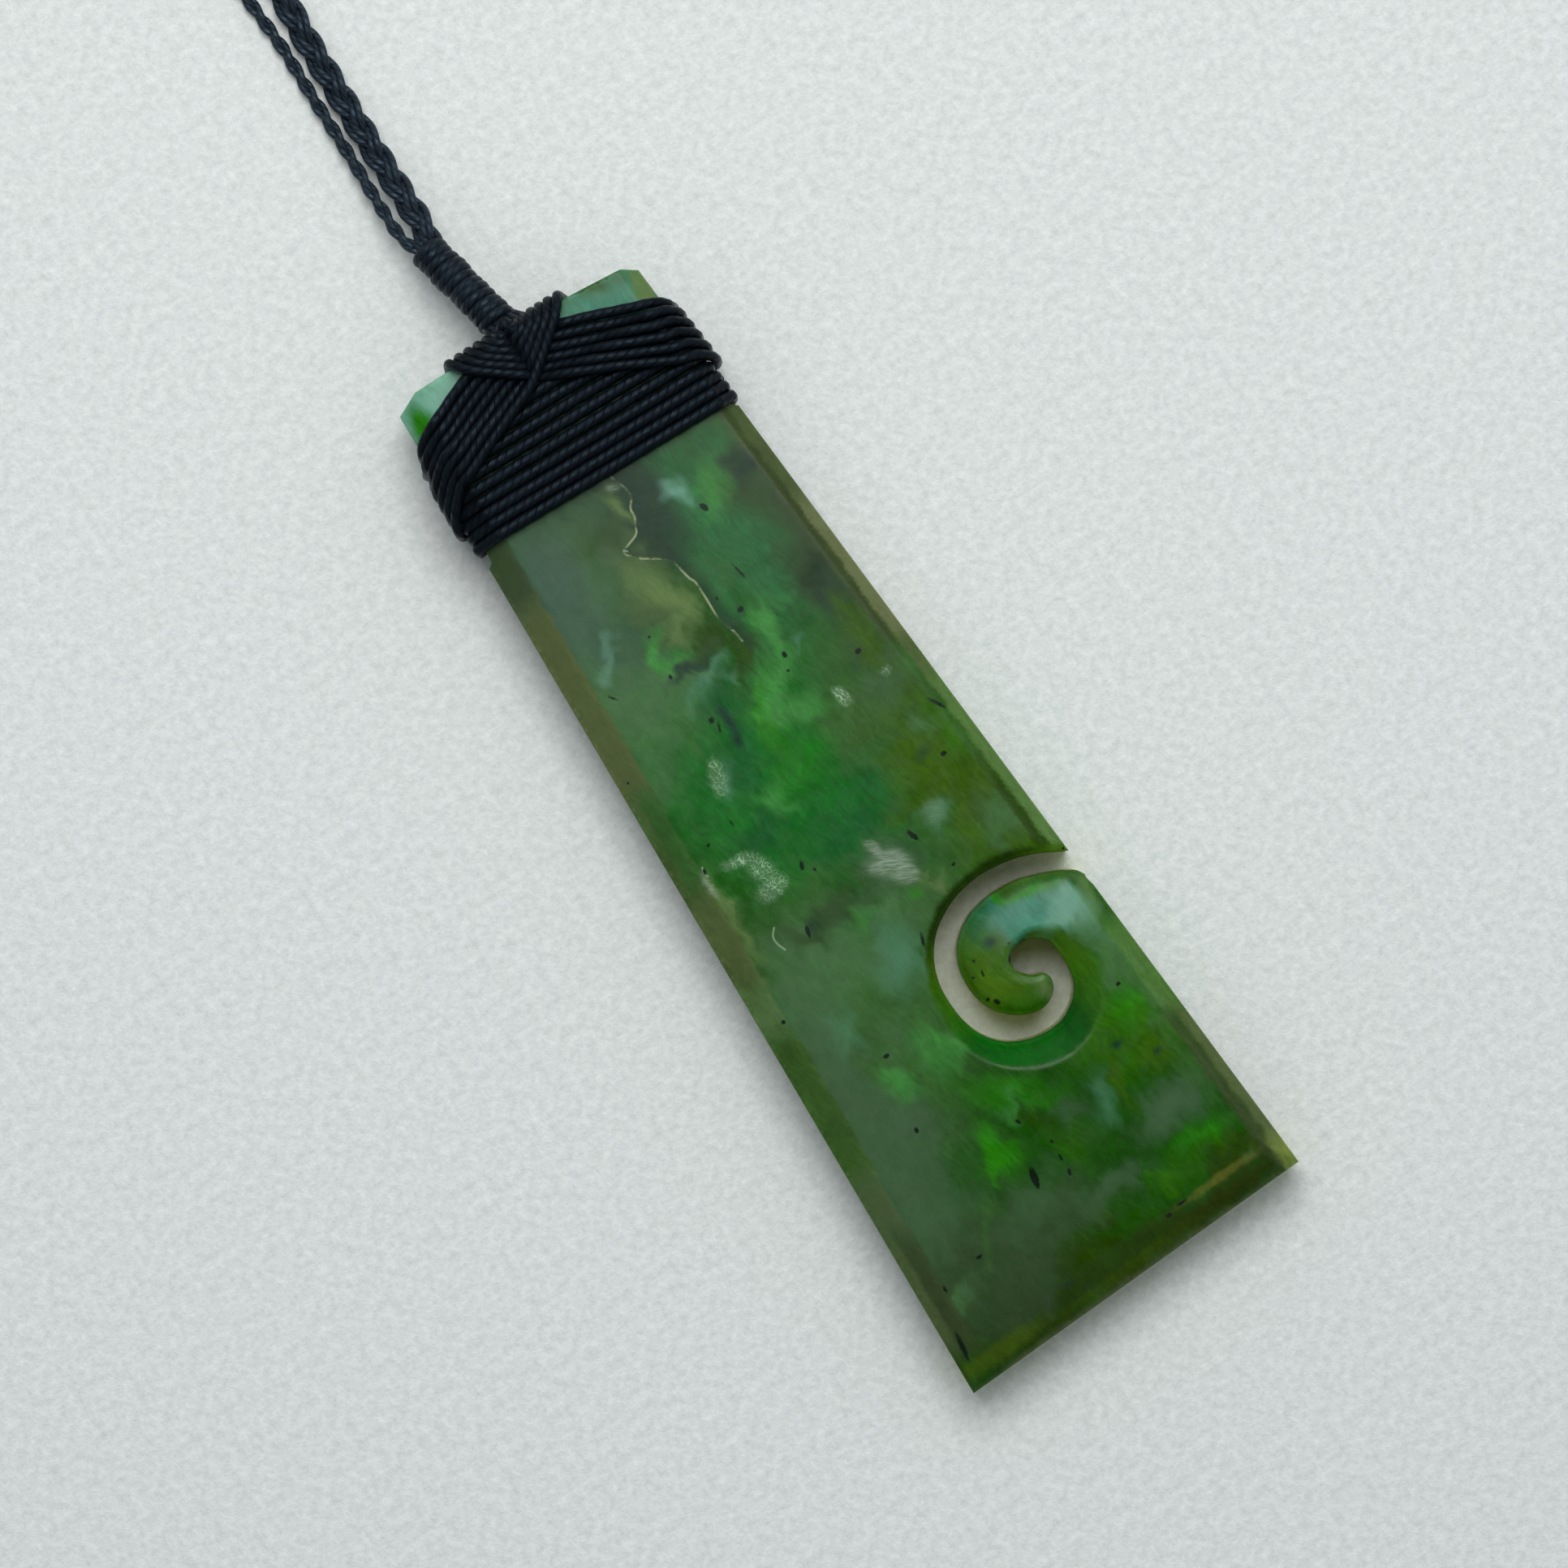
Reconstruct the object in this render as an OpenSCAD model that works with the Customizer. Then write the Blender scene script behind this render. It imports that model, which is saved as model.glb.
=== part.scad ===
// Greenstone adze pendant: a tapered polished blade with a pierced spiral at one edge,
// lashed with waxed cord at the narrow end and carried on a plaited neck loop.
// Millimetres. The stone lies on its back in the XY plane with its narrow end towards +Y.

/* [Stone] */
// Length of the stone from the narrow end to the cutting edge
stone_length = 83; // [80:0.5:86]
// Width across the narrow end
poll_width = 20.4; // [20:0.1:21]
// Width across the cutting edge
blade_width = 29; // [28:0.5:30]
// Thickness of the stone
stone_thickness = 6.5; // [6:0.1:7]
// Width of the long bevel on the left side of the front
left_bevel = 2.05; // [1.5:0.05:2.3]
// Width of the long bevel on the right side of the front
right_bevel = 1.3; // [1:0.05:1.6]
// How far each long bevel drops from the front face
bevel_drop = 1.2; // [0.8:0.1:1.6]
// How far the back rises from the surface at the narrow end, to make room for the lashing
poll_relief = 2.6; // [2.5:0.1:2.8]

/* [Spiral] */
// Place of the spiral's eye across the stone
eye_x = 5.9; // [5.7:0.05:6.1]
// Place of the spiral's eye along the stone
eye_y = -17.4; // [-18:0.1:-17]
// Radius of the round eye that ends the slot
eye_radius = 1.2; // [1.1:0.05:1.3]

/* [Lashing] */
// Diameter of the lashing cord
cord_d = 0.8; // [0.7:0.02:0.82]
// Clearance left under each layer of cord
cord_gap = 0.1; // [0.08:0.01:0.12]
// Turns that run straight round the stone
straight_turns = 8; // [6:1:8]
// Distance from one straight turn to the next
straight_pitch = 0.92; // [0.9:0.01:0.95]
// Height of the lowest straight turn above the middle of the stone
straight_base = 29.1; // [29:0.1:29.5]
// Turns of each slanting group that crosses on the front and the back
slant_turns = 5; // [3:1:5]
// Depth of the seat cut into each side under the lashing
seat_depth = 0.7; // [0.5:0.05:0.8]

/* [Neck cord] */
// Outer diameter of the whipping that gathers the neck cords
whipping_d = 2.86; // [2.7:0.02:3]
// Turns in the whipping at the stone
whipping_turns = 10; // [8:1:11]
// Width of the thick plait
thick_width = 2.1; // [1.9:0.05:2.1]
// Height of the thick plait as it lies
thick_height = 1.5; // [1.3:0.05:1.5]
// Diameter of the thin plait
thin_d = 1.06; // [0.95:0.01:1.06]

/* [Hidden] */
$fn = 48;

stone_color = "#3f8a55";
cord_color = "#20262b";
plait_color = "#191e24";

// Outline of the stone, seen from the front
poll_y = stone_length / 2;
blade_y = -stone_length / 2;
blade_skew = 1.1;
left_poll = [-poll_width / 2 - 0.15, poll_y - 0.8];
left_shoulder = [-poll_width / 2 + 1.75, poll_y];
crown = [3.5, poll_y - 0.15];
right_shoulder = [poll_width / 2 - 1.3, poll_y - 0.7];
right_poll = [poll_width / 2 - 0.2, poll_y - 1.4];
right_blade = [blade_width / 2, blade_y + blade_skew];
left_blade = [-blade_width / 2, blade_y];
seat_top_left = 37.6;
seat_top_right = 36.9;
seat_bottom = 27.9;

// x of each side at a height y
function side_x(low, high, y) = low.x + (high.x - low.x) * (y - low.y) / (high.y - low.y);
function left_x(y) = side_x(left_blade, left_poll, y);
function right_x(y) = side_x(right_blade, right_poll, y);

// Front facets along the cutting edge, and the ground faces of the back
edge_ridge = 3.1;
edge_drop = 1.3;
lip_width = 1.2;
lip_drop = 1.5;
lip_level = stone_thickness - 0.9;
back_grind = 6;
back_grind_rise = 1.6;
relief_start = 4;
past = 1;
// Size of the blocks that cut away more than the stone's own thickness or width
block = 8;
wide = 20;

// The slot: each row is a direction from the eye, the radius of the slot's outer wall
// and the radius of its inner wall
ANGLE = 0;
OUTER = 1;
INNER = 2;
slot_rows = [
    [30, 9.3, 7.4], [45, 8.2, 6.65], [60, 7.6, 6.1], [75, 7.3, 5.75], [90, 7.15, 5.45],
    [105, 6.97, 5.2], [120, 6.8, 5], [135, 6.67, 4.92], [150, 6.55, 4.8], [165, 6.38, 4.65],
    [180, 6.25, 4.4], [195, 6.2, 4.2], [210, 6.12, 4.05], [225, 5.95, 3.9], [240, 5.65, 3.72],
    [255, 5.3, 3.45], [270, 4.9, 3], [285, 4.45, 2.4]];
// The end of the slot, round the tip of the spiral: direction, radius of the outer wall
eye_rows = [[300, 4], [315, 3.4], [330, 2.85], [345, 2.5], [360, 2.3], [380, 2.05], [400, 1.6], [420, 1.3]];
// The lower lip of the slot's mouth, rounded off at the stone's edge
mouth_rows = [[22, 7.7], [15, 7.6], [9, 8.4]];
tip_rows = [[420, 0.6], [315, 0.9], [300, 1.85]];

// The ramp carved down to the slot: direction, radius of its ridge, depth at the slot
RIDGE = 1;
DEPTH = 2;
ramp_rows = [[105, 7.3, 0.1], [125, 7.25, 0.3], [145, 7.2, 0.45], [165, 7.3, 0.6], [185, 7.55, 0.75],
             [205, 7.75, 0.9], [225, 7.8, 1], [245, 7.75, 1], [262, 7.55, 0.8], [278, 7.1, 0.45]];

function polar(r, a) = [eye_x + r * cos(a), eye_y + r * sin(a)];
// Radius of the slot's outer wall in any direction between the rows
function outer_wall(a) = lookup(a, [for (row = slot_rows) [row[ANGLE], row[OUTER]]]);

// Layers of cord over the stone: how far a cord's middle stands off the surface
first_layer = cord_gap + cord_d / 2;
second_layer = first_layer + cord_d + cord_gap;
cross_x = -0.5;
cross_y = 37.7;
cross_pitch = 0.75;
arm_pitch = 1.09;
arm_reach_left = 4.9;
arm_reach_right = 4.7;
end_shift = 1.5;
// Heights of the outermost and the innermost slanting turn where they meet the long bevel,
// where they bend over the side, and on the side itself
right_rim = [32.7, 37.8];
right_bend = [31.9, 36.4];
right_low = [31.2, 35.8];
left_rim = [34.2, 38.8];
left_bend = [32.6, 37.1];
left_low = [31.3, 36.4];
climb_start = 37.3;
climb_end = 36.7;
arm_width = 0.58;
fan_width = 0.66;
tail = 0.8;
arm_lead = 0.7;

// Neck: the whipping's two ends, and the join at the far side of the loop
neck_start = [-0.65, poll_y + 1.1, 4.6];
neck_end = [-2.1, poll_y + 8.7, 3.1];
neck_cord_d = 0.62;
join_start = [-5.5, 268, whipping_d / 2];
join_end = [5.5, 268, whipping_d / 2];
join_turns = 14;
plait_steps = 2;
drawn_in = 0.6;

// Routes of the two plaits from the whipping to the join, lying on the surface
thick_rest = thick_height / 2 + 0.02;
thick_route = [
    [-1.55, 50.6, 3], [-1.35, 52, 2.6], [-1.3, 55, 1.9], [-1.25, 59, 1.2], [-1.1, 64, 0.8],
    [-0.8, 70, thick_rest], [0.2, 77, thick_rest], [4, 86, thick_rest], [11, 96, thick_rest],
    [21, 107, thick_rest], [33, 118, thick_rest], [46, 130, thick_rest], [59, 144, thick_rest],
    [71, 160, thick_rest], [79, 178, thick_rest], [82, 197, thick_rest], [79, 216, thick_rest],
    [70, 234, thick_rest], [57, 249, thick_rest], [41, 260, thick_rest], [24, 266, thick_rest],
    [12, 268, 0.95], [5.6, 268, 1.35]];
thin_rest = thin_d / 2 + 0.02;
thin_route = [
    [-2.8, 50.6, 3], [-3.2, 52, 2.4], [-3.15, 55, 1.6], [-3, 59, 0.9], [-2.9, 64, 0.6],
    [-2.8, 70, thin_rest], [-3.6, 77, thin_rest], [-7, 86, thin_rest], [-14, 96, thin_rest],
    [-24, 107, thin_rest], [-36, 118, thin_rest], [-49, 130, thin_rest], [-61, 144, thin_rest],
    [-72, 160, thin_rest], [-79, 178, thin_rest], [-81, 197, thin_rest], [-78, 216, thin_rest],
    [-70, 234, thin_rest], [-57, 249, thin_rest], [-41, 260, thin_rest], [-24, 266, thin_rest],
    [-12, 268, 0.85], [-5.6, 268, 1.35]];

// Sweeping. A station is [point, outward normal, half width, half height].
function unit(v) = v / norm(v);
function station_ring(p, t, n, a, b, sides) =
    let (across = unit(cross(t, n)), up = unit(cross(across, t)))
    [for (k = [0 : sides - 1])
        let (f = (k + 0.5) * 360 / sides) p + a * cos(f) * across + b * sin(f) * up];
function direction(stations, i) =
    let (last = len(stations) - 1)
    unit(stations[min(i + 1, last)][0] - stations[max(i - 1, 0)][0]);

// A cord of the given stations, closed flat at both ends
module cord(stations, sides = 6) {
    count = len(stations);
    rings = [for (i = [0 : count - 1])
        each station_ring(stations[i][0], direction(stations, i), stations[i][1],
                          stations[i][2], stations[i][3], sides)];
    start_cap = [for (k = [sides - 1 : -1 : 0]) k];
    end_cap = [for (k = [0 : sides - 1]) (count - 1) * sides + k];
    walls = [for (i = [0 : count - 2], k = [0 : sides - 1])
        let (m = (k + 1) % sides, a = i * sides, b = a + sides)
        each [[a + k, a + m, b + m], [a + k, b + m, b + k]]];
    polyhedron(points = rings, faces = concat([start_cap, end_cap], walls));
}

// A smooth curve through points, each stretch cut into steps
function curve_point(a, b, c, d, u) =
    0.5 * (2 * b + (c - a) * u + (2 * a - 5 * b + 4 * c - d) * u * u + (3 * b - a - 3 * c + d) * u * u * u);
function curve(points, steps) =
    let (last = len(points) - 1)
    concat([for (i = [0 : last - 1], s = [0 : steps - 1])
        curve_point(points[max(i - 1, 0)], points[i], points[i + 1], points[min(i + 2, last)], s / steps)],
        [points[last]]);

// Places its children along the line from p to q, which becomes their +Z
module along(p, q) {
    d = q - p;
    translate(p) rotate([0, acos(d.z / norm(d)), atan2(d.y, d.x)]) children();
}

// Cuts a plane off the edge from p to q of the outline: width in from the edge, drop down from z
module edge_cut(p, q, width, drop, z) {
    run = norm(q - p);
    translate([p.x, p.y, z]) rotate([0, 0, atan2(q.y - p.y, q.x - p.x)])
        translate([-block, width, 0]) rotate([atan2(drop, width), 0, 0])
            translate([0, -block, 0]) cube([run + 2 * block, block, block]);
}

module outline() {
    polygon([left_poll, [left_x(seat_top_left), seat_top_left],
        [left_x(seat_top_left) + seat_depth, seat_top_left],
        [left_x(seat_bottom) + seat_depth, seat_bottom], [left_x(seat_bottom), seat_bottom],
        left_blade, right_blade, [right_x(seat_bottom), seat_bottom],
        [right_x(seat_bottom) - seat_depth, seat_bottom],
        [right_x(seat_top_right) - seat_depth, seat_top_right],
        [right_x(seat_top_right), seat_top_right], right_poll, right_shoulder, crown, left_shoulder]);
}

// The spiral slot, open at the stone's right edge and ending in the round eye
module slot_outline() {
    outer = [for (row = slot_rows) polar(row[OUTER], row[ANGLE])];
    beyond = [for (row = eye_rows) polar(row[1], row[0])];
    inner = [for (i = [len(slot_rows) - 1 : -1 : 0]) polar(slot_rows[i][INNER], slot_rows[i][ANGLE])];
    tip = [for (row = tip_rows) polar(row[1], row[0])];
    mouth = [for (row = mouth_rows) polar(row[1], row[0])];
    polygon(concat([polar(12, 22)], outer, beyond, tip, inner, mouth));
    translate(polar(0.1, 60)) circle(eye_radius);
}

// A wedge whose lower face runs from the ramp's ridge down to the slot
module ramp() {
    rows = len(ramp_rows);
    z = stone_thickness;
    into_slot = 0.25;
    over = 0.4;
    sections = [for (row = ramp_rows)
        let (a = row[ANGLE], wall = outer_wall(a) - into_slot, slope = row[DEPTH] / (row[RIDGE] - wall),
             p = polar(wall, a), q = polar(row[RIDGE] + over, a))
        each [[p.x, p.y, z - row[DEPTH]], [q.x, q.y, z + over * slope], [q.x, q.y, z + past], [p.x, p.y, z + past]]];
    walls = [for (i = [0 : rows - 2], k = [0 : 3])
        let (m = (k + 1) % 4, a = 4 * i, b = a + 4)
        each [[a + k, b + m, a + m], [a + k, b + k, b + m]]];
    polyhedron(points = sections,
        faces = concat([[0, 1, 2], [0, 2, 3]],
            [[4 * rows - 4, 4 * rows - 2, 4 * rows - 3], [4 * rows - 4, 4 * rows - 1, 4 * rows - 2]], walls));
}

module stone() {
    color(stone_color) difference() {
        linear_extrude(stone_thickness) outline();
        edge_cut(left_poll, left_blade, left_bevel, bevel_drop, stone_thickness);
        edge_cut(right_blade, right_poll, right_bevel, bevel_drop, stone_thickness);
        edge_cut([-wide, blade_y + blade_skew / 2], [wide, blade_y + blade_skew / 2], edge_ridge, edge_drop,
            stone_thickness);
        edge_cut(left_blade, right_blade, lip_width, lip_drop, lip_level);
        // the back falls away towards the narrow end, and is ground thinner at the cutting edge
        translate([-wide, relief_start, 0]) rotate([atan2(poll_relief, poll_y - relief_start), 0, 0])
            translate([0, 0, -block]) cube([2 * wide, stone_length, block]);
        translate([-wide, blade_y + back_grind, 0]) rotate([-atan2(back_grind_rise, back_grind), 0, 0])
            translate([0, -wide, -block]) cube([2 * wide, wide, block]);
        translate([0, 0, -past]) linear_extrude(stone_thickness + 2 * past) slot_outline();
        ramp();
    }
}

// Stations of a cord that turns round a lengthwise edge of the stone at (x, z). The surface's
// outward direction goes from one angle to the other, 0 being the front and 90 the right side.
function side_turn(x, z, y, y_end, h, from, to, steps, a) =
    [for (s = [0 : steps])
        let (f = from + (to - from) * s / steps, n = [sin(f), 0, cos(f)])
        [[x, y + (y_end - y) * s / steps, z] + h * n, n, a, cord_d / 2]];
// The same over an edge of the narrow end: 0 is the back, 90 the end face and 180 the front
function end_turn(x, y, z, h, h_end, from, to, steps, a) =
    [for (s = [0 : steps])
        let (f = from + (to - from) * s / steps, n = [0, sin(f), -cos(f)])
        [[x, y, z] + (h + (h_end - h) * s / steps) * n, n, a, cord_d / 2]];
function flat_station(p, h, face, a) = [[[p.x, p.y, p.z + h * face], [0, 0, face], a, cord_d / 2]];

left_tilt = atan2(bevel_drop, left_bevel);
right_tilt = atan2(bevel_drop, right_bevel);
function bevel_z(width) = stone_thickness - bevel_drop * (width - seat_depth) / width;
function back_z(y) = (y - relief_start) * poll_relief / (poll_y - relief_start);

// One turn round the stone: left side and front at y, right side and back one pitch lower
function straight_turn(y) =
    let (low = y - straight_pitch, a = cord_d / 2,
         lx = left_x(y) + seat_depth, li = left_x(y) + left_bevel,
         rx = right_x(low) - seat_depth, ri = right_x(low) - right_bevel)
    concat(
        side_turn(lx, back_z(y), y, y, first_layer, 180, 270, 2, a),
        side_turn(lx, bevel_z(left_bevel), y, y, first_layer, 270, 360 - left_tilt, 2, a),
        side_turn(li, stone_thickness, y, y, first_layer, 360 - left_tilt, 360, 1, a),
        side_turn(ri, stone_thickness, low, low, first_layer, 0, right_tilt, 1, a),
        side_turn(rx, bevel_z(right_bevel), low, low, first_layer, right_tilt, 90, 2, a),
        side_turn(rx, back_z(low), low, low, first_layer, 90, 180, 2, a));

module straight_wraps() {
    top = straight_base + straight_pitch * (straight_turns - 0.5);
    bottom = straight_base - straight_pitch / 2;
    color(cord_color) cord(concat(
        flat_station([-2, top, back_z(top)], first_layer, -1, cord_d / 2),
        [for (t = [0 : straight_turns - 1]) each straight_turn(top - t * straight_pitch)],
        flat_station([-2, bottom, back_z(bottom)], first_layer, -1, cord_d / 2)));
}

// The slanting lashing. Turn i of a group is the i-th from the outside, and side is 1 for the
// turns that run to the right side and -1 for those that run to the left and lie on top.
function layer_at(y) =
    first_layer + (second_layer - first_layer)
        * min(1, max(0, (climb_start - y) / (climb_start - climb_end)));
function end_x(i, side) = cross_x - side * ((side > 0 ? arm_reach_left : arm_reach_right) - arm_pitch * i);
function end_y(x) = lookup(x, [[left_shoulder.x, left_shoulder.y], [crown.x, crown.y],
    [right_shoulder.x, right_shoulder.y]]);
function row_y(range, i) = range[0] + (range[1] - range[0]) * i / (slant_turns - 1);

// Over the narrow end and down the front to the side's back edge
function slant_front(i, side) =
    let (right = side > 0, x = end_x(i, side), y = end_y(x), back_x = x - side * end_shift,
         a = arm_width / 2, b = fan_width / 2, top = right ? first_layer : second_layer,
         cross = [cross_x, cross_y + cross_pitch * i, stone_thickness],
         arm = unit([cross.x - x, cross.y - y]),
         rim = row_y(right ? right_rim : left_rim, i), bend = row_y(right ? right_bend : left_bend, i),
         low = row_y(right ? right_low : left_low, i),
         rim_x = right ? right_x(rim) - right_bevel : left_x(rim) + left_bevel,
         low_x = right ? right_x(low) - seat_depth : left_x(low) + seat_depth,
         tilt = right ? right_tilt : left_tilt, z = bevel_z(right ? right_bevel : left_bevel),
         climb = right ? [min(0.6, (cross.y - climb_start) / (cross.y - rim)),
                          min(0.9, (cross.y - climb_end) / (cross.y - rim))] : [0.5])
    concat(
        end_turn(back_x, y, back_z(y), first_layer, first_layer, 0, 90, 2, b),
        end_turn(x, y, stone_thickness, first_layer, (first_layer + top) / 2, 90, 180, 2, a),
        flat_station([x + arm_lead * arm.x, y + arm_lead * arm.y, stone_thickness], top, 1, a),
        flat_station(cross, top, 1, a),
        [for (t = climb)
            let (p = cross + t * ([rim_x, rim, stone_thickness] - cross))
            each flat_station(p, right ? layer_at(p.y) : second_layer, 1, b)],
        side_turn(rim_x, stone_thickness, rim, rim, layer_at(rim), 0, side * tilt, 1, b),
        side_turn(low_x, z, bend, (bend + low) / 2, layer_at(bend), side * tilt, side * 90, 2, b),
        side_turn(low_x, back_z(low), low, low, layer_at(low), side * 90, side * 180, 3, b));

// Up the back from the side to the narrow end, where turn k of the other group begins
function slant_back(i, side, k) =
    let (low = row_y(side > 0 ? right_low : left_low, i), x = end_x(k, -side), y = end_y(x),
         p = [side > 0 ? right_x(low) - seat_depth : left_x(low) + seat_depth, low],
         q = [x + side * end_shift, y],
         steep = max(0.12, (climb_end - low) / (y - low)),
         flat = max(steep + 0.15, (climb_start - low) / (y - low)))
    [for (t = [steep, flat])
        let (m = p + t * (q - p))
        each flat_station([m.x, m.y, back_z(m.y)], layer_at(m.y), -1, fan_width / 2)];

module slant_wraps() {
    last = slant_turns - 1;
    start = [end_x(0, 1) - end_shift - tail, end_y(end_x(0, 1)) - tail];
    end = [left_x(left_low[0]) + 4 * tail, left_low[0]];
    color(cord_color) cord(concat(
        flat_station([start.x, start.y, back_z(start.y)], first_layer, -1, fan_width / 2),
        [for (i = [0 : last]) each concat(
            slant_front(i, 1),
            slant_back(i, 1, last - i),
            slant_front(last - i, -1),
            i < last ? slant_back(last - i, -1, i + 1)
                : flat_station([end.x, end.y, back_z(end.y)], second_layer, -1, fan_width / 2))]));
}

// A whipping along +Z: a core with cord wound round it
module whipping(length, turns) {
    steps = 14;
    pitch = length / turns;
    r = (whipping_d - neck_cord_d) / 2;
    a = (pitch - cord_gap) / 2;
    cylinder(h = length, r = r - neck_cord_d / 4);
    cord([for (s = [0 : (turns - 1) * steps])
        let (f = 360 * s / steps, n = [cos(f), sin(f), 0])
        [r * n + [0, 0, pitch / 2 + pitch * s / steps], n, a, neck_cord_d / 2]]);
}

module neck_whipping() {
    color(cord_color) along(neck_start, neck_end) whipping(norm(neck_end - neck_start), whipping_turns);
}

// A plait of the given route, width and height, drawn in at both ends
module plait(route, width, height) {
    line = curve(route, plait_steps);
    last = len(line) - 1;
    color(plait_color) cord([for (i = [0 : last])
        let (draw = i == 0 || i == last ? drawn_in : 1)
        [line[i], [0, 0, 1], draw * width / 2, draw * height / 2]], 10);
}

module thick_plait() plait(thick_route, thick_width, thick_height);
module thin_plait() plait(thin_route, thin_d, thin_d);

module loop_join() {
    color(cord_color) along(join_start, join_end) whipping(norm(join_end - join_start), join_turns);
}

stone();
straight_wraps();
slant_wraps();
neck_whipping();
thick_plait();
thin_plait();
loop_join();
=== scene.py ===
import bpy
import math
import numpy as np
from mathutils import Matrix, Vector
from mathutils.geometry import delaunay_2d_cdt


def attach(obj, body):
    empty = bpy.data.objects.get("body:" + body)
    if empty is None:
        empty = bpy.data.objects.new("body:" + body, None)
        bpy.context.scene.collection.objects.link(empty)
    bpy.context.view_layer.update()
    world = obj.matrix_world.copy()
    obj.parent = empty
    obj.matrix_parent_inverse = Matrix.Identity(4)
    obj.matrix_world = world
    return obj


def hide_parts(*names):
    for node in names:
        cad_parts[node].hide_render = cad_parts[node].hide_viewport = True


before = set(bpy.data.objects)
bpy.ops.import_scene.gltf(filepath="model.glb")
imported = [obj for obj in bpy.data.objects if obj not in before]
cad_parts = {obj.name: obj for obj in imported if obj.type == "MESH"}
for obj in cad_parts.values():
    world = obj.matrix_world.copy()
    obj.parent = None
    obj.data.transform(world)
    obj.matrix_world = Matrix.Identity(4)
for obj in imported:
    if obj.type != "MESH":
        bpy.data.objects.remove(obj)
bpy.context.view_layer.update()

# Greenstone adze pendant: polished nephrite, lashed with waxed cord, on a plaited neck loop.
# Lengths are worked out in millimetres in the part's own frame and turned to metres as a mesh is made.
mm = 0.001
block = 3000             # points measured at a time, to spare memory


def linearColour(hexText):
    # sRGB hex to linear: c/12.92 below 0.04045, else ((c + 0.055)/1.055)^2.4
    c = np.array([int(hexText[i:i + 2], 16) for i in (1, 3, 5)]) / 255
    c = np.where(c <= 0.04045, c / 12.92, ((c + 0.055) / 1.055) ** 2.4)
    return (*c.tolist(), 1.0)


def meshPiece(name, points, faces, material):
    # a mesh object from an N x 3 array in mm and a list of face index arrays (triangles or quads)
    mesh = bpy.data.meshes.new(name)
    corners = np.concatenate([np.asarray(f, dtype=np.int32).ravel() for f in faces])
    sizes = np.concatenate([np.full(len(f), np.asarray(f).shape[1], dtype=np.int32) for f in faces])
    mesh.vertices.add(len(points))
    mesh.vertices.foreach_set("co", (np.asarray(points, dtype=np.float32) * mm).ravel())
    mesh.loops.add(len(corners))
    mesh.loops.foreach_set("vertex_index", corners)
    mesh.polygons.add(len(sizes))
    mesh.polygons.foreach_set("loop_start", np.concatenate([[0], np.cumsum(sizes)[:-1]]).astype(np.int32))
    mesh.polygons.foreach_set("loop_total", sizes)
    mesh.update(calc_edges=True)
    mesh.polygons.foreach_set("use_smooth", np.ones(len(sizes), dtype=bool))
    mesh.validate()
    piece = bpy.data.objects.new(name, mesh)
    bpy.context.scene.collection.objects.link(piece)
    mesh.materials.append(material)
    return piece


def dressNode(piece, node):
    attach(piece, "root")
    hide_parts(node)


def pointValues(piece, name, values):
    # a float attribute on the points, for the material to read
    data = piece.data.attributes.new(name, "FLOAT", "POINT").data
    data.foreach_set("value", np.asarray(values, dtype=np.float32))


def newMaterial(name):
    material = bpy.data.materials.new(name)
    material.use_nodes = True
    material.node_tree.nodes.clear()
    return material


def addNode(owner, kind, inputs=None, **settings):
    # one shader node: settings are its properties, inputs its sockets, each given a value, a socket, or a node,
    # which stands for its first live output
    node = owner.node_tree.nodes.new(kind)
    for key, value in settings.items():
        setattr(node, key, value)
    for key, value in (inputs or {}).items():
        if isinstance(value, bpy.types.Node):
            value = next(out for out in value.outputs if out.enabled)
        if isinstance(value, bpy.types.NodeSocket):
            owner.node_tree.links.new(value, node.inputs[key])
        else:
            node.inputs[key].default_value = value
    return node


def alongLine(line):
    # distance run along a polyline at each of its points
    return np.concatenate([[0], np.cumsum(np.linalg.norm(np.diff(line[:, :3], axis=0), axis=1))])


def resample(line, step):
    # points at equal steps along a polyline; columns past the third are carried along
    run = alongLine(line)
    at = np.linspace(0, run[-1], max(2, int(round(run[-1] / step)) + 1))
    return np.stack([np.interp(at, run, line[:, k]) for k in range(line.shape[1])], axis=1)


def smoothCurve(points, step):
    # Catmull-Rom through the points, cut so that neighbours lie about step apart
    p = np.asarray(points, dtype=float)
    p = np.vstack([2 * p[0] - p[1], p, 2 * p[-1] - p[-2]])
    u = np.linspace(0, 1, 25)[:-1, None]
    before, start, end, after = p[:-3, None], p[1:-2, None], p[2:-1, None], p[3:, None]
    fine = 0.5 * (2 * start + (end - before) * u + (2 * before - 5 * start + 4 * end - after) * u ** 2
                  + (3 * start - before - 3 * end + after) * u ** 3)
    return resample(np.vstack([fine.reshape(-1, p.shape[1]), p[-2:-1]]), step)


def smoothStep(t):
    t = np.clip(t, 0, 1)
    return t * t * (3 - 2 * t)


def softStep(value, at, soft):
    # from 0 to 1 as the value passes from at - soft to at + soft
    return smoothStep((value - at) / (2 * soft) + 0.5)


# the camera's place over the table
view = {
    "centre": (-1.68, 3.10),         # mm, the point under the middle of the photo
    "up": (0.5495, 0.8355),          # the photo's upward direction on the table
    "width": 113.6,                  # mm across the photo at the stone's face
    "lens": 150,
    "sensor": 36,
}

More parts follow.
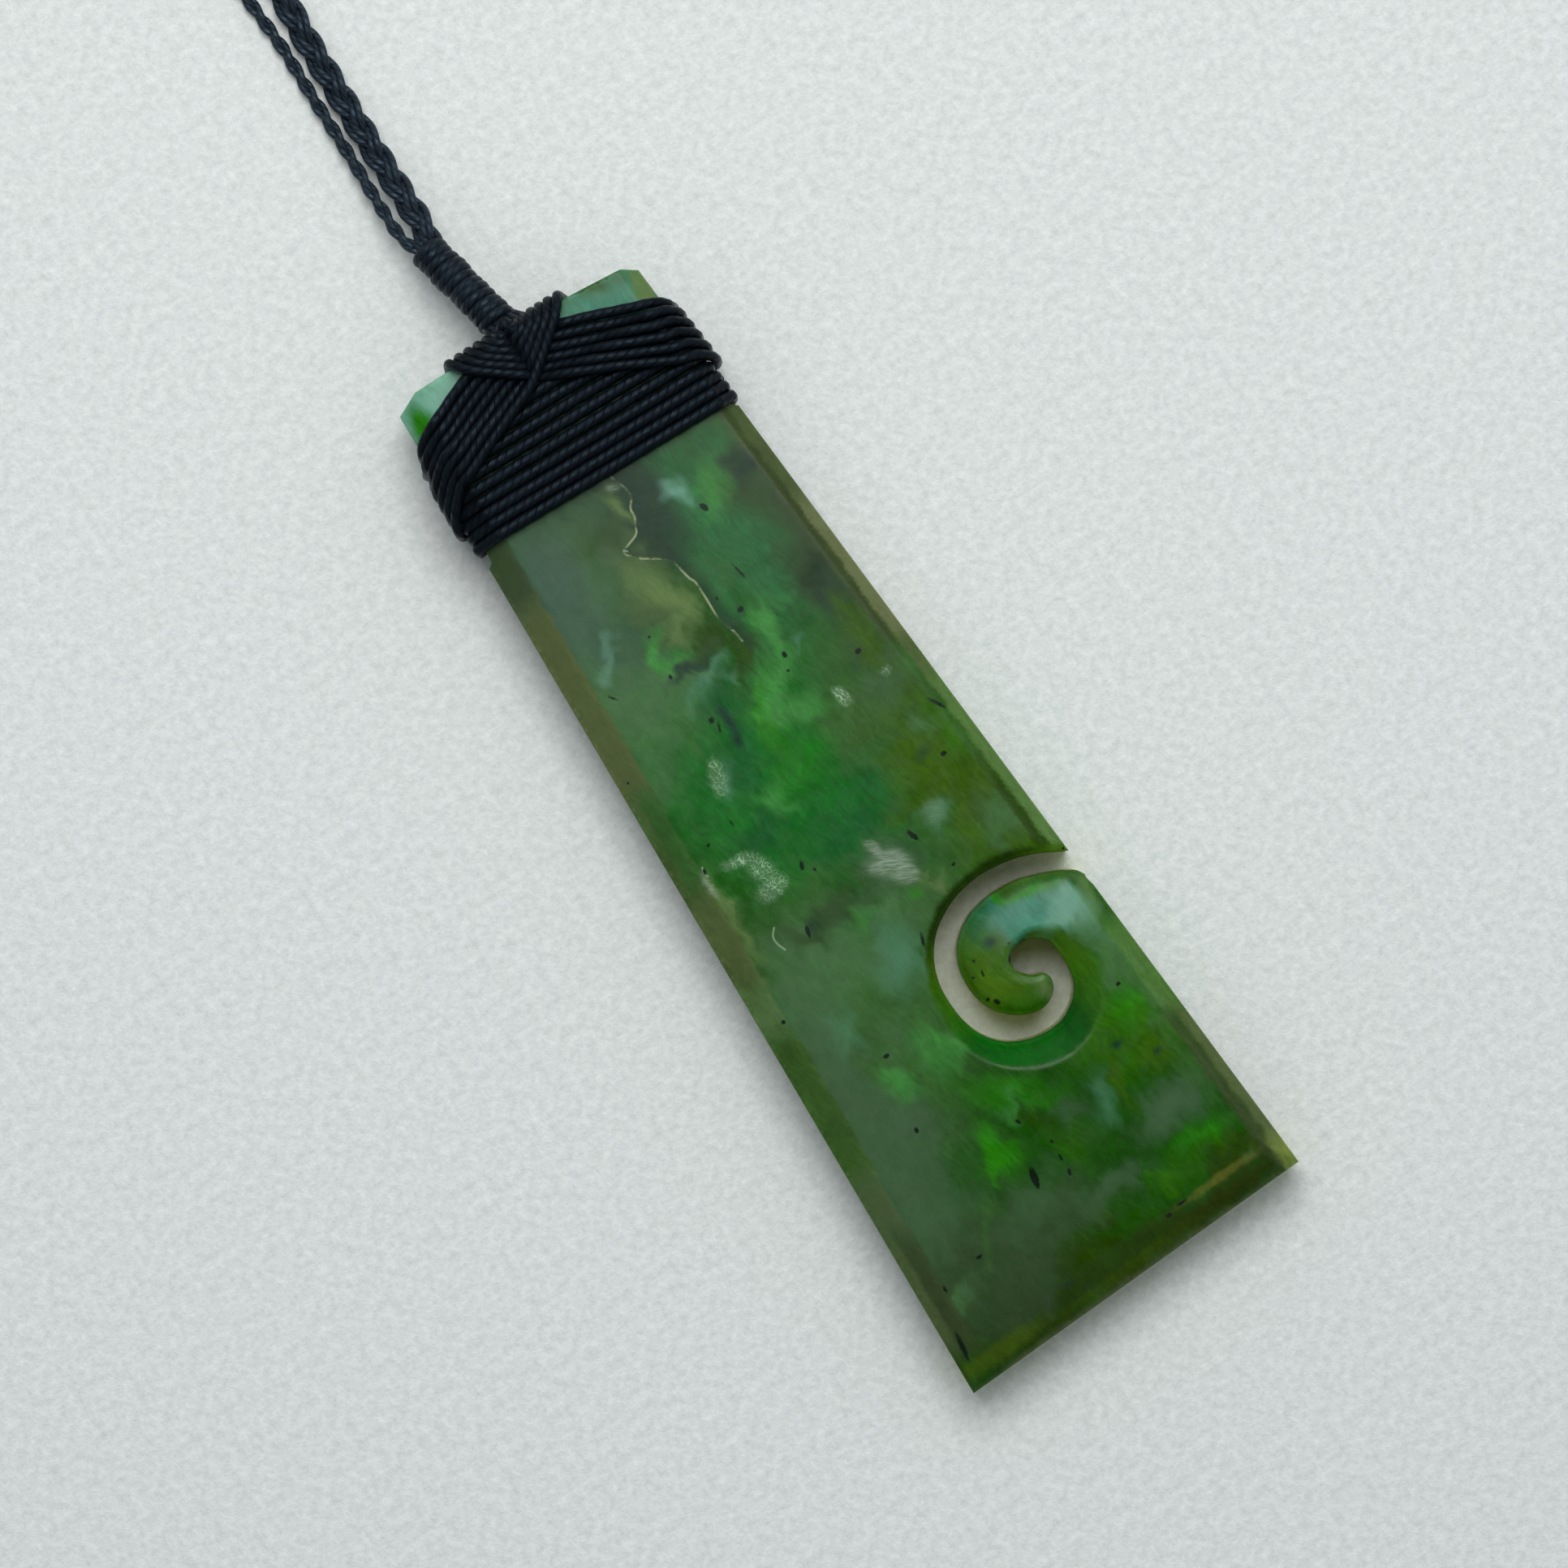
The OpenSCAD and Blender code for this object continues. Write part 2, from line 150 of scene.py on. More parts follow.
# the stone's form
stoneShape = {
    "thickness": 6.5,
    "leftBevel": 2.05,       # width of the long bevel on the left, and on the right
    "rightBevel": 1.3,
    "bevelDrop": 1.2,
    "leftBlade": (-14.5, -41.5),
    "rightBlade": (14.5, -40.4),
    "leftPoll": (-10.35, 40.7),
    "rightPoll": (10.0, 40.1),
    "poll": [(8.9, 40.8), (3.5, 41.35), (-8.45, 41.5)],
    "facet": (3.0, 0.42),    # how far the cutting edge's facet reaches up the stone, and its slope
    "facetLean": 0.01,
    "lip": (1.1, 0.8),       # and the same for the narrow lip below it
    "seatDepth": 0.7,        # the lashing's seat in each side, at its upper and its lower end
    "seatShallow": 0.4,
    "seatBottom": 27.9,
    "seatTopLeft": 37.6,
    "seatTopRight": 36.9,
    "backTaper": (4, 2.6, 37.5),         # the back leaves the table at this y, and rises so much in so much length
    "backGround": (-35.5, 1.6, 6),       # the same for the part ground away behind the cutting edge
    "eye": (5.9, -17.4),
    "slotMouth": (-15.3, -14.7),         # y of the corner below the slot's mouth, where its rounding starts and ends
    "upperLip": (12.94, -12.3),
    "edgeRound": 0.16,
    "grid": 0.24,            # spacing of the points on the front, and how far they keep from a ridge and from the rim
    "ridgeClear": 0.24,
    "rimClear": 0.32,
    "backGrid": 0.9,         # the same for the back
    "backClear": 0.3,
    "ridgeRow": 0.16,        # rows of points to either side of each ridge
}

# The slot's wall, from the lower lip of its mouth round the curl to the tip: direction from the eye, radius
curlWall = [(23, 7.72), (28, 7.64), (34, 7.28), (42, 6.8), (52, 6.33), (63, 6.0), (75, 5.7), (90, 5.47),
            (105, 5.36), (120, 5.24), (135, 5.13), (150, 4.91), (165, 4.66), (180, 4.47), (195, 4.3),
            (210, 4.08), (225, 3.89), (240, 3.74), (253, 3.58), (265, 3.32), (275, 3.0), (284, 2.68),
            (291, 2.32), (296, 1.98)]
# round the tip and the eye
eyeWall = [(297, 1.67), (290, 1.36), (268, 1.1), (238, 0.9), (203, 0.9), (173, 1.0), (149, 1.16), (124, 1.27),
           (98, 1.33), (72, 1.49), (48, 1.75), (26, 2.06), (6, 2.3), (-10, 2.4)]
# and back along the outer wall to the sharp upper lip
outerWall = [(-28, 2.75), (-43, 3.22), (-57, 3.78), (-70, 4.27), (-83, 4.68), (-95, 5.05), (-110, 5.38),
             (-125, 5.72), (-140, 6.03), (-155, 6.18), (-170, 6.21), (-185, 6.28), (-200, 6.5), (-215, 6.71),
             (-230, 6.87), (-245, 6.93), (-260, 7.03), (-275, 7.18), (-290, 7.42), (-302, 7.74), (-312, 8.07),
             (-320, 8.4), (-324.6, 8.75)]

# The slope carved down to the outer wall: direction (past 360 round the eye), radius of its ridge, depth at the wall
slopeRows = np.array([
    (0, 9.6, 0.3), (35, 9.3, 0.35), (60, 8.5, 0.42), (90, 7.95, 0.5), (120, 7.7, 0.5), (150, 7.45, 0.55),
    (180, 7.5, 0.65), (210, 7.75, 0.9), (225, 7.8, 1.0), (245, 7.75, 1.05), (262, 7.55, 1.0), (278, 7.1, 0.95),
    (300, 6.3, 0.85), (320, 5.5, 0.75), (340, 4.7, 0.65), (360, 4.1, 0.6), (380, 3.4, 0.5), (400, 2.8, 0.4),
    (420, 2.3, 0.3), (440, 1.9, 0.2), (460, 1.7, 0.15), (480, 1.6, 0.1)])
# The curl's domed face: direction, radius of its crest, drop at the curl's wall
domeRows = np.array([
    (-40, 7, 0.0), (-20, 6, 0.1), (0, 4.6, 0.35), (20, 3.2, 0.7), (45, 2.2, 1.0), (70, 1.8, 1.15), (90, 1.6, 1.2),
    (120, 1.6, 1.2), (150, 1.7, 1.2), (180, 1.8, 1.2), (210, 1.8, 1.2), (240, 1.8, 1.1), (265, 1.8, 0.9),
    (285, 1.7, 0.7), (300, 1.6, 0.5)])


def polar(rows):
    # direction in degrees and radius, about the eye, to x and y
    rows = np.asarray(rows, dtype=float)
    a = np.radians(rows[:, 0])
    return np.array(stoneShape["eye"]) + rows[:, 1:2] * np.stack([np.cos(a), np.sin(a)], axis=1)


def roundEye(points):
    # distance from the eye, and direction in degrees from 0 to 360
    d = points[:, :2] - stoneShape["eye"]
    return np.hypot(d[:, 0], d[:, 1]), np.degrees(np.arctan2(d[:, 1], d[:, 0])) % 360


def sideX(low, high, y):
    # x of a long side at this height, from its ends at the blade and at the poll
    (x0, y0), (x1, y1) = stoneShape[low], stoneShape[high]
    return x0 + (x1 - x0) * (y - y0) / (y1 - y0)


def leftX(y):
    return sideX("leftBlade", "leftPoll", y)


def rightX(y):
    return sideX("rightBlade", "rightPoll", y)


def bladeY(x):
    # y of the cutting edge
    (x0, y0), (x1, y1) = stoneShape["leftBlade"], stoneShape["rightBlade"]
    return y0 + (y1 - y0) * (x - x0) / (x1 - x0)


def facetY(x):
    # y of the ridge above the cutting edge's facet
    return bladeY(x) + stoneShape["facet"][0] - stoneShape["facetLean"] * x


def softPositive(v, e):
    # max(v, 0) with its corner rounded over about e
    return 0.5 * (v + np.sqrt(v * v + e * e))


def softMax(a, b, e):
    return 0.5 * (a + b + np.sqrt((a - b) ** 2 + e * e))


def nearest(points, line, sided=False):
    # distance from each point to a polyline, a block of points at a time; sided gives a line that runs down the
    # stone a positive distance on its right and a negative one on its left
    a, d = line[:-1], np.diff(line, axis=0)
    length = (d * d).sum(1)
    out = np.empty(len(points))
    for s in range(0, len(points), block):
        q = points[s:s + block, None, :] - a
        t = np.clip((q * d).sum(2) / length, 0, 1)
        far = ((q - t[..., None] * d) ** 2).sum(2)
        k = far.argmin(1)
        row = np.arange(len(k))
        out[s:s + block] = np.sqrt(far[row, k])
        if sided:
            out[s:s + block] *= np.where(d[k, 1] * q[row, k, 0] < d[k, 0] * q[row, k, 1], 1, -1)
    return out


curlLine = smoothCurve(polar(curlWall + eyeWall[:1]), 0.2)
innerLine = smoothCurve(polar(eyeWall), 0.12)
outerLine = smoothCurve(np.vstack([polar([eyeWall[-1]] + outerWall[:-1]), [stoneShape["upperLip"]]]), 0.25)
slotLine = np.vstack([curlLine, innerLine[1:], outerLine[1:]])


def seatCorners(edgeX, side, top):
    # the lashing's seat in one side, from its lower end up: two steps and the sloping floor between them
    s = stoneShape
    low, high = s["seatBottom"], s[top]
    return [(edgeX(low), low), (edgeX(low) - side * s["seatShallow"], low + 0.3),
            (edgeX(high) - side * s["seatDepth"], high), (edgeX(high), high)]


def straightRuns(points, step):
    return np.vstack([resample(np.array(ends, dtype=float), step)[:-1] for ends in zip(points[:-1], points[1:])])


def stoneOutline(step):
    # anticlockwise from the cutting edge's left corner
    s = stoneShape
    low, high = s["slotMouth"]
    mouth = (rightX(low), low)
    lip = smoothCurve([mouth, (rightX(high) - 0.1, high), slotLine[0]], step)[1:-1]
    after = [slotLine[-1], *seatCorners(rightX, 1, "seatTopRight"), s["rightPoll"], *s["poll"], s["leftPoll"],
             *seatCorners(leftX, -1, "seatTopLeft")[::-1], s["leftBlade"]]
    return np.vstack([straightRuns([s["leftBlade"], s["rightBlade"], mouth], step), [mouth], lip, slotLine[:-1],
                      straightRuns(after, step)])


def insetRing(loop, distance):
    # each point moved inwards along the mean of its two edges' normals; also the outward directions
    ahead = np.roll(loop, -1, axis=0) - loop
    n = np.stack([-ahead[:, 1], ahead[:, 0]], axis=1)
    n /= np.linalg.norm(n, axis=1, keepdims=True)
    m = n + np.roll(n, 1, axis=0)
    m /= np.linalg.norm(m, axis=1, keepdims=True)
    stretch = 1 / np.clip((m * n).sum(1), 0.5, 1)
    return loop + distance * m * stretch[:, None], -m


def carvedSlope(points):
    # how far the slope round the outside of the slot has dropped, in mm: from nothing at its ridge, in a straight
    # line, to 1.35 times its depth at the slot's wall
    r, a = roundEye(points)
    outer = np.array(sorted((t % 360, q) for t, q in outerWall))
    inner = np.array(outerWall[2::-1] + [row for row in eyeWall[::-1] if row[0] < 180])
    nearEye = (r < 5.2) & ((a < 125) | (a > 300))
    running = np.where(nearEye & (a < 125), a + 360, a)
    wallFar = np.interp(a, *outer.T)
    wall = np.where(nearEye, np.interp((a + 90) % 360 - 90, *inner.T), wallFar)
    ridge = np.interp(running, slopeRows[:, 0], slopeRows[:, 1])
    depth = np.interp(running, slopeRows[:, 0], slopeRows[:, 2])
    t = 1.35 * depth * (ridge - r) / np.maximum(ridge - wall, 0.2)
    return np.where(nearEye | (r > wallFar - 0.3), softPositive(t, 0.07), 0)


def frontDrop(points):
    # how far the front lies below its flat face: the greatest of the drops of every facet, softened where they meet
    s = stoneShape
    x, y = points[:, 0], points[:, 1]
    left = s["bevelDrop"] / s["leftBevel"] * (leftX(y) + s["leftBevel"] - x)
    right = s["bevelDrop"] / s["rightBevel"] * (x - rightX(y) + s["rightBevel"])
    facet = s["facet"][1] * (facetY(x) - y)
    lip = 0.8 + s["lip"][1] * (bladeY(x) + s["lip"][0] - y)
    rubbed = 0.1 + 0.5 * np.clip((2 - x) / 10, 0, 1)         # the facet's ridge is rubbed away towards the left
    drop = softPositive(left, 0.14)
    drop = softMax(drop, softPositive(right, 0.12), 0.1)
    drop = softMax(drop, softPositive(facet, rubbed), 0.12)
    drop = softMax(drop, lip, 0.1)
    drop = softMax(drop, carvedSlope(points), 0.05)
    # the domed curl: with t from 0 at its crest to 1 at its wall, the drop is fall * (0.58 t^1.15 + 0.42 t^5)
    r, a = roundEye(points)
    around = (a + 60) % 360 - 60
    inside = (r < np.interp(a, *np.array([(0, 7.6)] + curlWall).T) + 0.25) & (a < 300)
    edge = np.interp(around, *np.array([(-60, 9), (0, 7.75)] + curlWall).T)
    crest = np.interp(around, domeRows[:, 0], domeRows[:, 1])
    fall = np.interp(around, domeRows[:, 0], domeRows[:, 2])
    t = np.clip((r - crest) / np.maximum(edge - crest, 0.3), 0, 1.1)
    dome = fall * (0.58 * t ** 1.15 + 0.42 * t ** 5)
    drop = np.maximum(drop, 0) + np.where(inside | ((around < 30) & (r < 9)), dome, 0)
    # every edge of the slot is eased over 0.55 mm
    near = r < 11
    drop[near] += 0.22 * np.clip(1 - nearest(points[near], slotLine) / 0.55, 0, 1) ** 2
    return drop


def backRise(points):
    # the back is flat, falls away towards the narrow end, and is ground thinner at the cutting edge
    s = stoneShape
    y = points[:, 1]
    start, rise, run = s["backTaper"]
    ground, groundRise, groundRun = s["backGround"]
    return softPositive((y - start) * rise / run, 0.1) + softPositive((ground - y) * groundRise / groundRun, 0.15)


def within(points, ring):
    # even-odd count of the ring's edges crossed on the way out along x
    a, b = ring, np.roll(ring, -1, axis=0)
    rise = np.where(b[:, 1] == a[:, 1], 1, b[:, 1] - a[:, 1])
    keep = np.zeros(len(points), dtype=bool)
    for s in range(0, len(points), block):
        x, y = points[s:s + block, :1], points[s:s + block, 1:]
        cross = (a[:, 1] > y) != (b[:, 1] > y)
        at = a[:, 0] + (y - a[:, 1]) * (b[:, 0] - a[:, 0]) / rise
        keep[s:s + block] = ((cross & (at > x)).sum(1) % 2) == 1
    return keep


def insideRing(points, ring, margin):
    kept = points[within(points, ring)]
    return kept[nearest(kept, np.vstack([ring, ring[:1]])) > margin]


def triangulate(ring, inner):
    # constrained Delaunay triangles inside the ring, through the inner points
    points = np.vstack([ring, inner])
    n = len(ring)
    edges = [(i, (i + 1) % n) for i in range(n)]
    _, _, faces, origins, _, _ = delaunay_2d_cdt(points.tolist(), edges, [list(range(n))], 1, 1e-6, True)
    first = np.array([o[0] if o else -1 for o in origins])
    tri = first[np.array([f for f in faces if len(f) == 3])]
    return points, tri[within(points[tri].mean(1), ring)]


def hexGrid(step):
    # points over the whole stone in staggered rows
    y = np.arange(-42, 42, step * 0.866)
    gx, gy = np.meshgrid(np.arange(-15.5, 15.5, step), y)
    gx = gx + (np.arange(len(y)) % 2)[:, None] * step / 2
    return np.stack([gx.ravel(), gy.ravel()], axis=1)


def ridgeRows(ridges):
    # rows of points on each ridge line and to either side of it
    rows = []
    for line in ridges:
        d = np.gradient(line, axis=0)
        n = np.stack([-d[:, 1], d[:, 0]], axis=1) / np.linalg.norm(d, axis=1, keepdims=True)
        rows += [line + n * k * stoneShape["ridgeRow"] for k in (-1, 0, 1)]
    return np.vstack(rows)


def makeStone(material):
    # front and back are triangles inside the same ring, and the wall between them is rounded at both its edges
    s, g = stoneShape, greenstone
    step = s["grid"]
    outline = stoneOutline(step)
    ring, outward = insetRing(outline, s["edgeRound"])
    ys, xs, turn = np.arange(-37.6, 40.5, step), np.arange(-12.2, 13, step), np.arange(40, 400, 1.6)
    ridges = [np.stack(line, axis=1) for line in (
        (leftX(ys) + s["leftBevel"], ys), (rightX(ys) - s["rightBevel"], ys), (xs, facetY(xs)),
        (xs, bladeY(xs) + s["lip"][0]))]
    ridges.append(polar(np.stack([turn, np.interp(turn, slopeRows[:, 0], slopeRows[:, 1])], axis=1)))
    grid = hexGrid(step)
    for line in ridges:
        grid = grid[nearest(grid, line) > s["ridgeClear"]]
    secondRow = insetRing(outline, s["edgeRound"] + 0.2)[0]
    inner = np.vstack([insideRing(secondRow, ring, 0.15),
                       insideRing(np.vstack([grid, ridgeRows(ridges), markPoints()]), ring, s["rimClear"])])
    front, frontFaces = triangulate(ring, inner)
    back, backFaces = triangulate(ring, insideRing(hexGrid(s["backGrid"]), ring, s["backClear"]))
    n, flatCount = len(ring), len(front) + len(back)
    frontZ, backZ = s["thickness"] - frontDrop(front), backRise(back)
    # rows of the wall from the front's rim to the back's: a quarter round, two between, a quarter round
    f, rim, foot = s["edgeRound"], frontZ[:n], backZ[:n]
    rounding = [(f * (1 - math.cos(a)), f * (1 - math.sin(a))) for a in np.radians([60, 30, 0])]
    wall = [np.column_stack([outline - outward * inset, rim - drop]) for inset, drop in rounding]
    wall += [np.column_stack([outline, (rim - f) * (1 - part) + (foot + f) * part]) for part in (0.33, 0.67)]
    wall += [np.column_stack([outline - outward * inset, foot + drop]) for inset, drop in rounding[::-1]]
    points = np.vstack([np.column_stack([front, frontZ]), np.column_stack([back, backZ])] + wall)
    starts = [0] + [flatCount + n * k for k in range(len(wall))] + [len(front)]
    i = np.arange(n)
    j = (i + 1) % n
    quads = [np.stack([a + i, b + i, b + j, a + j], axis=1) for a, b in zip(starts[:-1], starts[1:])]
    faces = [frontFaces, backFaces[:, ::-1] + len(front), np.vstack(quads)]
    piece = meshPiece("greenstone_blade", points, faces, material)
    # painted glow standing in for light through the stone on to the table: a bright colour painted low on the slot's
    # walls, higher on those that face away from the window, and on the back and lowest wall rows under the cutting edge
    flat, z = points[:, :2], points[:, 2]
    onFlats = np.zeros(flatCount)
    glowOnWallRows = np.concatenate([onFlats, np.repeat([0, 0, 1, 1, 1, 1, 1, 1], n)])
    away = np.clip(0.55 - 1.3 * outward @ (-0.35, 0.93), 0, 1)
    away = np.concatenate([onFlats, np.tile(away, len(wall))]) * np.clip((4.4 - z) / 1.6, 0, 1)
    low = np.clip((2.9 - z) / 0.8, 0, 1)
    inSlot = (roundEye(flat)[0] < 9) * (nearest(flat, slotLine) < 0.1)
    under = np.concatenate([np.zeros(len(front)), np.ones(len(back)), np.repeat([0, 0, 0, 0, 0.1, 0.2, 0.4, 0.6], n)])
    pointValues(piece, "walls", np.maximum(glowOnWallRows * np.maximum(away, low) * inSlot, under * (flat[:, 1] < -37)))
    # the marks on the front
    crack = smoothCurve(g["crack"], 0.15)
    pointValues(piece, "crackSide", nearest(flat, crack, sided=True))
    pointValues(piece, "crackLine", nearest(flat, crack))
    pointValues(piece, "curve", np.min([nearest(flat, smoothCurve(line, 0.2)) for line in g["curves"]], axis=0))
    pointValues(piece, "fleck", fleckDepth(flat))
    ragged = drifted(flat, 0.8, 0.15, 21)
    for name in ("lace", "chalk"):
        pointValues(piece, name, np.max([cloudShare(ragged, cloud, 0.5) for cloud in g[name]], axis=0))
    greens = greenstoneTint(flat)
    tint = piece.data.attributes.new("tint", "FLOAT_COLOR", "POINT")
    tint.data.foreach_set("color", greens.astype(np.float32).ravel())
    # milky parts are smooth and saturated ones are full of fibres: 1 - least / greatest of the three channels
    saturation = 1 - greens[:, :3].min(1) / greens[:, :3].max(1)
    pointValues(piece, "lively", np.clip((saturation - 0.5) / 0.35, 0.35, 1))
    dressNode(piece, "stone")
    print("stone made,", len(points), "points")


